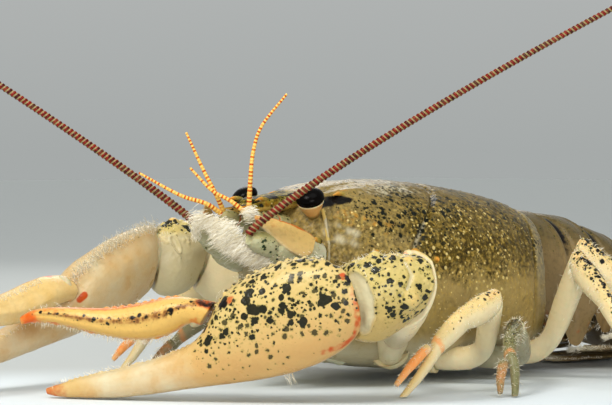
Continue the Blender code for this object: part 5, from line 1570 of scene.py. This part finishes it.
# %% Grow bristles
def bristles(name, slot, groups, seed, width, clump=0.5, droop=0.12, stray=0.26):
    """Grow all groups of (roots, ways, shortest, longest) as one closed piece."""
    rng = np.random.default_rng(seed)
    roots = np.concatenate([np.array(g[0], float) for g in groups])
    ways = np.concatenate([np.broadcast_to(np.array(g[1], float), np.shape(g[0])) for g in groups])
    lengths = np.concatenate([g[2] + (g[3] - g[2]) * rng.random(len(g[0])) for g in groups])
    lengths = np.minimum(lengths, 0.1 + 0.8 * np.maximum(roots[:, 2], 0))[:, None]
    count = len(roots)
    ways = unit(unit(ways) + rng.normal(size=(count, 3)) * stray)
    fall = vec(0, 0, -droop) * lengths
    tips = roots + ways * lengths + fall
    # each hair leans towards the middle of the tips of its clump
    middles = roots[rng.choice(count, max(1, count // CLUMP_SIZE), replace=False)]
    owner = np.concatenate([np.argmin(((batch[:, None] - middles) ** 2).sum(axis=2), axis=1)
                            for batch in np.array_split(roots, max(1, count // BATCH))])
    total = np.zeros((len(middles), 3))
    np.add.at(total, owner, tips)
    gather = total / np.maximum(np.bincount(owner, minlength=len(middles)), 1)[:, None]
    pull = (gather[owner] - tips) * clump
    # a hair has four rows of three points and a tip
    side = unit(np.cross(ways, unit(vec(0.3, 0.5, 1.0))))
    other = np.cross(ways, side)
    rows = []
    for t in HAIR_ROWS:
        middle = roots + ways * lengths * t + (pull + fall) * t * t
        for turn in (0.0, math.tau / 3, 2 * math.tau / 3):
            rows.append(middle + (side * math.cos(turn) + other * math.sin(turn)) * width * (1 - 0.75 * t))
    points = np.stack(rows + [tips + pull], axis=1)
    strip = [(0, 2, 1)]
    for row in (0, 3, 6):
        for a, b in ((0, 1), (1, 2), (2, 0)):
            strip += [(row + a, row + b, row + b + 3), (row + a, row + b + 3, row + a + 3)]
    strip += [(9, 10, 12), (10, 11, 12), (11, 9, 12)]
    faces = (np.array(strip)[None] + HAIR_POINTS * np.arange(count)[:, None, None]).reshape(-1, 3)
    mesh = bpy.data.meshes.new(name)
    mesh.from_pydata((points.reshape(-1, 3) * MM + HOME).tolist(), [], faces.tolist())
    piece = bpy.data.objects.new(name, mesh)
    bpy.context.scene.collection.objects.link(piece)
    paint(piece, tone=np.repeat(rng.random(count), HAIR_POINTS))
    # the bake map: one small patch for each hair, set by the place of its root
    far = np.array([(math.atan2(x, z - 10.0) / math.tau + 0.5, (y + 60.0) / 130.0) for x, y, z in roots])
    spread = np.array([(k % 3 / 3, k // 3 / 4) for k in range(HAIR_POINTS)]) * PATCH
    unwrap = (np.clip(far, 0.01, 0.98)[:, None] + spread[None]).reshape(-1, 2)
    layer = mesh.uv_layers.new(name="OFBake")
    layer.data.foreach_set("uv", unwrap[faces.ravel()].astype(np.float32).ravel())
    only(piece)
    bpy.ops.object.shade_smooth()
    wear(piece, bristle_finish, slot)
    print(name, count, "hairs,", len(faces), "triangles")


# %% Bristles of the head
rng = np.random.default_rng(12)
FAR_BEARD = [(-2.6, -26.8, 19.7), (-1.2, -25.3, 19.1), (1.0, -24.6, 18.5)]
NEAR_BEARD = [(3.1, -26.7, 18.8), (3.3, -26.5, 17.5), (4.4, -25.3, 16.1), (5.3, -22.9, 15.3)]
MIDDLE_BEARD = [(-0.9, -25.1, 18.0), (1.4, -24.1, 16.4), (3.9, -23.0, 15.2)]
TUFT = [(3.9, -24.5, 20.6), (4.2, -24.1, 19.9)]
SLOPE = vec(-0.60, -0.60, -0.42)
groups = [
    (strewn(FAR_BEARD, 1000, 0.42, rng), SLOPE + vec(-0.1, -0.1, 0.1), 0.6, 1.7),
    (strewn(NEAR_BEARD, 1400, 0.45, rng), SLOPE + vec(0, 0, -0.05), 0.7, 2.1),
    (strewn(MIDDLE_BEARD, 1700, 0.5, rng) + vec(0.72, -0.69, 0) * 0.9, SLOPE + vec(0, 0, 0.1), 0.7, 1.7),
    (strewn(TUFT, 200, 0.3, rng), vec(-0.7, -0.7, -0.05), 0.6, 1.7),
    (strewn(np.array(NEAR_BEARD[:2]) * SIDES["right"], 260, 0.3, rng), SLOPE * SIDES["right"], 0.5, 1.1),
]
bristles("head_bristles", "mouth_shell", groups, seed=3, width=0.034, stray=0.32)

# %% Bristles of the claws
LOW_EDGE, HIGH_EDGE = 0, 1
FRINGES = [
    # whose edges, which edge, from, to, how many hairs, spread, lean in the hand's axes, lengths
    (PALM_EDGES, HIGH_EDGE, 1.0, 19.0, {"left": 90, "right": 1500}, 0.35, (0.5, 1, 0), 0.3,
     {"left": 0.7, "right": 1.3}),
    (FINGER_EDGES, LOW_EDGE, 20.0, 35.5, {"left": 320, "right": 320}, 0.2, (0.5, -1, 0.3), 0.3,
     {"left": 0.8, "right": 0.8}),
    (FINGER_EDGES, HIGH_EDGE, 20.0, 35.5, {"left": 60, "right": 360}, 0.2, (0.4, 1, 0), 0.3,
     {"left": 0.8, "right": 0.8}),
    (PALM_EDGES, HIGH_EDGE, 19.0, 35.0, {"left": 220, "right": 220}, 0.25, (0.4, 1, 0), 0.25,
     {"left": 0.7, "right": 0.7}),
]


def facing_up(points, outward):
    """High where a skin faces up."""
    return ease(outward[:, 2], 0.3, 0.9)


groups = []
for side_name, arm in ARMS.items():
    for edges, edge, first, last, many, spread, lean, shortest, longest in FRINGES:
        steps = np.linspace(first, last, 30)
        level = curve(edges, steps)[edge] + (0.1 if edge == LOW_EDGE else -0.1)
        way = arm["along"] * lean[0] + arm["across"] * lean[1] + arm["outward"] * lean[2]
        line = hand_place(arm, steps, level, 0 * steps)
        groups.append((strewn(line, many[side_name], spread, rng), way, shortest, longest[side_name]))
    below = hand_place(arm, vec(8.0, 9.0), vec(-5.4, -5.3), vec(0.5, 0.5))
    groups.append((strewn(below, 16, 0.3, rng), arm["along"] * -0.5 - arm["across"], 1.0, 1.9))
    roots, ways = picked("claw_wrist_" + side_name, 80, facing_up, rng)
    groups.append((roots, ways + vec(0, 0, 0.3), 0.25, 0.7))
bristles("claw_bristles", "claw_shell", groups, seed=4, width=0.032, clump=0.25)

# %% Bristles of the legs and the mouth
HAIRS_ON = {"upper": 70, "lower": 300, "tip": 120}
groups = []
for name, joints in LEGS.items():
    coxa, hip, knee, ankle, root, tip = (vec(*joint) for joint in joints)
    leg, side_name = name[:5], name[6:]
    for part, start, end in (("upper", hip, knee), ("lower", knee, root), ("tip", root, tip)):
        def weigh(points, outward, knee=knee):
            return 0.25 + ease(outward[:, 2], 0.0, 0.8) + 1.5 * near(points, knee, knee, 3.0)

        roots, ways = picked(f"{leg}_{part}_{side_name}", HAIRS_ON[part], weigh, rng)
        groups.append((roots, ways + unit(end - start) * 0.5, 0.25, 0.6 if leg == "leg_2" else 0.85))
for side_name in SIDES:
    roots, ways = picked("maxilliped_" + side_name, 500,
                         lambda points, outward: ease(-points[:, 1], 14.0, 18.0), rng)
    groups.append((roots, ways + vec(0, -0.6, -0.4), 0.5, 1.4))
bristles("limb_bristles", "limb_shell", groups, seed=6, width=0.03, clump=0.15)

# %% Bristles of the tail
def on_flaps(points, outward):
    """High on the lower edges of a tail ring's sides."""
    return ease(-outward[:, 2], 0.2, 0.8) * ease(np.abs(points[:, 0]), 6.0, 8.0)


groups = []
far = np.linspace(7.0, FAN_LENGTH, 40)
for part in FAN.values():
    way, across = part["way"], part["across"]
    low_rim, high_rim = (part["root"] + way * far[:, None] + across * edge[:, None]
                         for edge in curve(part["edge"], far))
    groups.append((strewn(low_rim, 140, 0.05, rng), way - across * 0.7 + vec(0, 0, 0.1), 0.9, 1.5))
    groups.append((strewn(high_rim, 140, 0.05, rng), way + across * 0.7 + vec(0, 0, 0.1), 0.9, 1.5))
    groups.append((strewn([low_rim[-1], high_rim[-1]], 70, 0.05, rng), way + vec(0, 0, 0.1), 1.0, 1.6))
for k in range(1, 6):
    groups.append((*picked(f"abdomen_{k}", 160, on_flaps, rng), 0.4, 0.9))
bristles("tail_bristles", "tail_shell", groups, seed=8, width=0.035, clump=0.1, droop=0.0)

# %% [markdown]
# ## Floor, backdrop and light
# The animal stands on a pale floor with a painted pool of light: it is brightest round the animal
# and fades to grey behind it, and the world is the same grey. A soft disc lamp high in front
# gives the form and a weak one behind lights the rims. Two broad suns open the shadows: one from
# the left, one from above.

# %% Floor
LIGHT_POOL_RADIUS = 150.0
LIGHT_POOL_FRONT = 24.0
FLOOR_HALF = 1.6
FLOOR_DROP = 0.0002
GREY_FAR = ink(166, 170, 169)
GREY_HIGH = ink(177, 180, 179)
GREY_ABOVE = 0.075
# Painted pool of light on the floor: its middle lies in front of the animal. The floor is brightest round
# the animal, a little duller towards the camera, and fades to grey behind.
light_pool_middle = VIEW_WAY * (LIGHT_POOL_FRONT - LIGHT_POOL_RADIUS)
f = Finish("floor_pale", specular=0.1)
gone = f.vector("DISTANCE", {0: f.mm, 1: tuple(light_pool_middle)}, "Value")
pale = f.mix(gone.step(LIGHT_POOL_RADIUS - 120.0, LIGHT_POOL_RADIUS - 42.0), ink(190, 199, 204), ink(221, 230, 236))
tone = f.mix(gone.step(LIGHT_POOL_RADIUS - 16.0, LIGHT_POOL_RADIUS + 10.0), pale, ink(188, 192, 191))
bpy.ops.object.select_all(action="DESELECT")
bpy.ops.mesh.primitive_plane_add(size=2 * FLOOR_HALF, location=(0, 0, -FLOOR_DROP))
floor = bpy.context.object
floor.name = "floor"
bpy.ops.object.transform_apply(location=True, rotation=True, scale=True)
floor.data.materials.append(f.feed(colour=tone, roughness=0.6 + 0.1 * f.noise(8.0)))
print("floor, m:", 2 * FLOOR_HALF)

# %% World
world = bpy.context.scene.world or bpy.data.worlds.new("studio")
bpy.context.scene.world = world
world.use_nodes = True
nodes, links = world.node_tree.nodes, world.node_tree.links
sky = nodes["Background"]
place, split, rise, blend = (nodes.new("ShaderNode" + kind)
                             for kind in ("TexCoord", "SeparateXYZ", "MapRange", "Mix"))
blend.data_type = "RGBA"
blend.inputs[6].default_value, blend.inputs[7].default_value = GREY_FAR, GREY_HIGH
rise.inputs["From Max"].default_value = GREY_ABOVE
links.new(place.outputs["Generated"], split.inputs[0])
links.new(split.outputs["Z"], rise.inputs["Value"])
links.new(rise.outputs[0], blend.inputs[0])
links.new(blend.outputs[2], sky.inputs["Color"])
sky.inputs["Strength"].default_value = 1.0
print("world:", world.name)

# %% Lamps
def lamp(kind, name, place, energy, size, colour):
    """A lamp aimed at the animal; size is a disc's width in metres or a sun's angle."""
    way = at(2, -10, 12) - place
    bpy.ops.object.light_add(type=kind, location=place, rotation=way.to_track_quat("-Z", "Y").to_euler())
    light = bpy.context.object
    light.name = name
    light.data.energy = energy
    light.data.color = colour
    if kind == "AREA":
        light.data.shape = "DISK"
        light.data.size = size
    else:
        light.data.angle = size


lamp("AREA", "key_lamp", at(20, -230, 250), 0.7, 0.12, (1.0, 0.97, 0.90))
lamp("AREA", "rim_lamp", at(-190, 150, 160), 0.14, 0.14, (1.0, 0.98, 0.94))
lamp("SUN", "fill_sun", at(640, -440, 150), 1.4, math.radians(24), (1.0, 0.98, 0.95))
lamp("SUN", "soft_sun", at(120, -60, 300), 0.8, math.radians(40), (1.0, 1.0, 1.0))
print("lamps: 4")
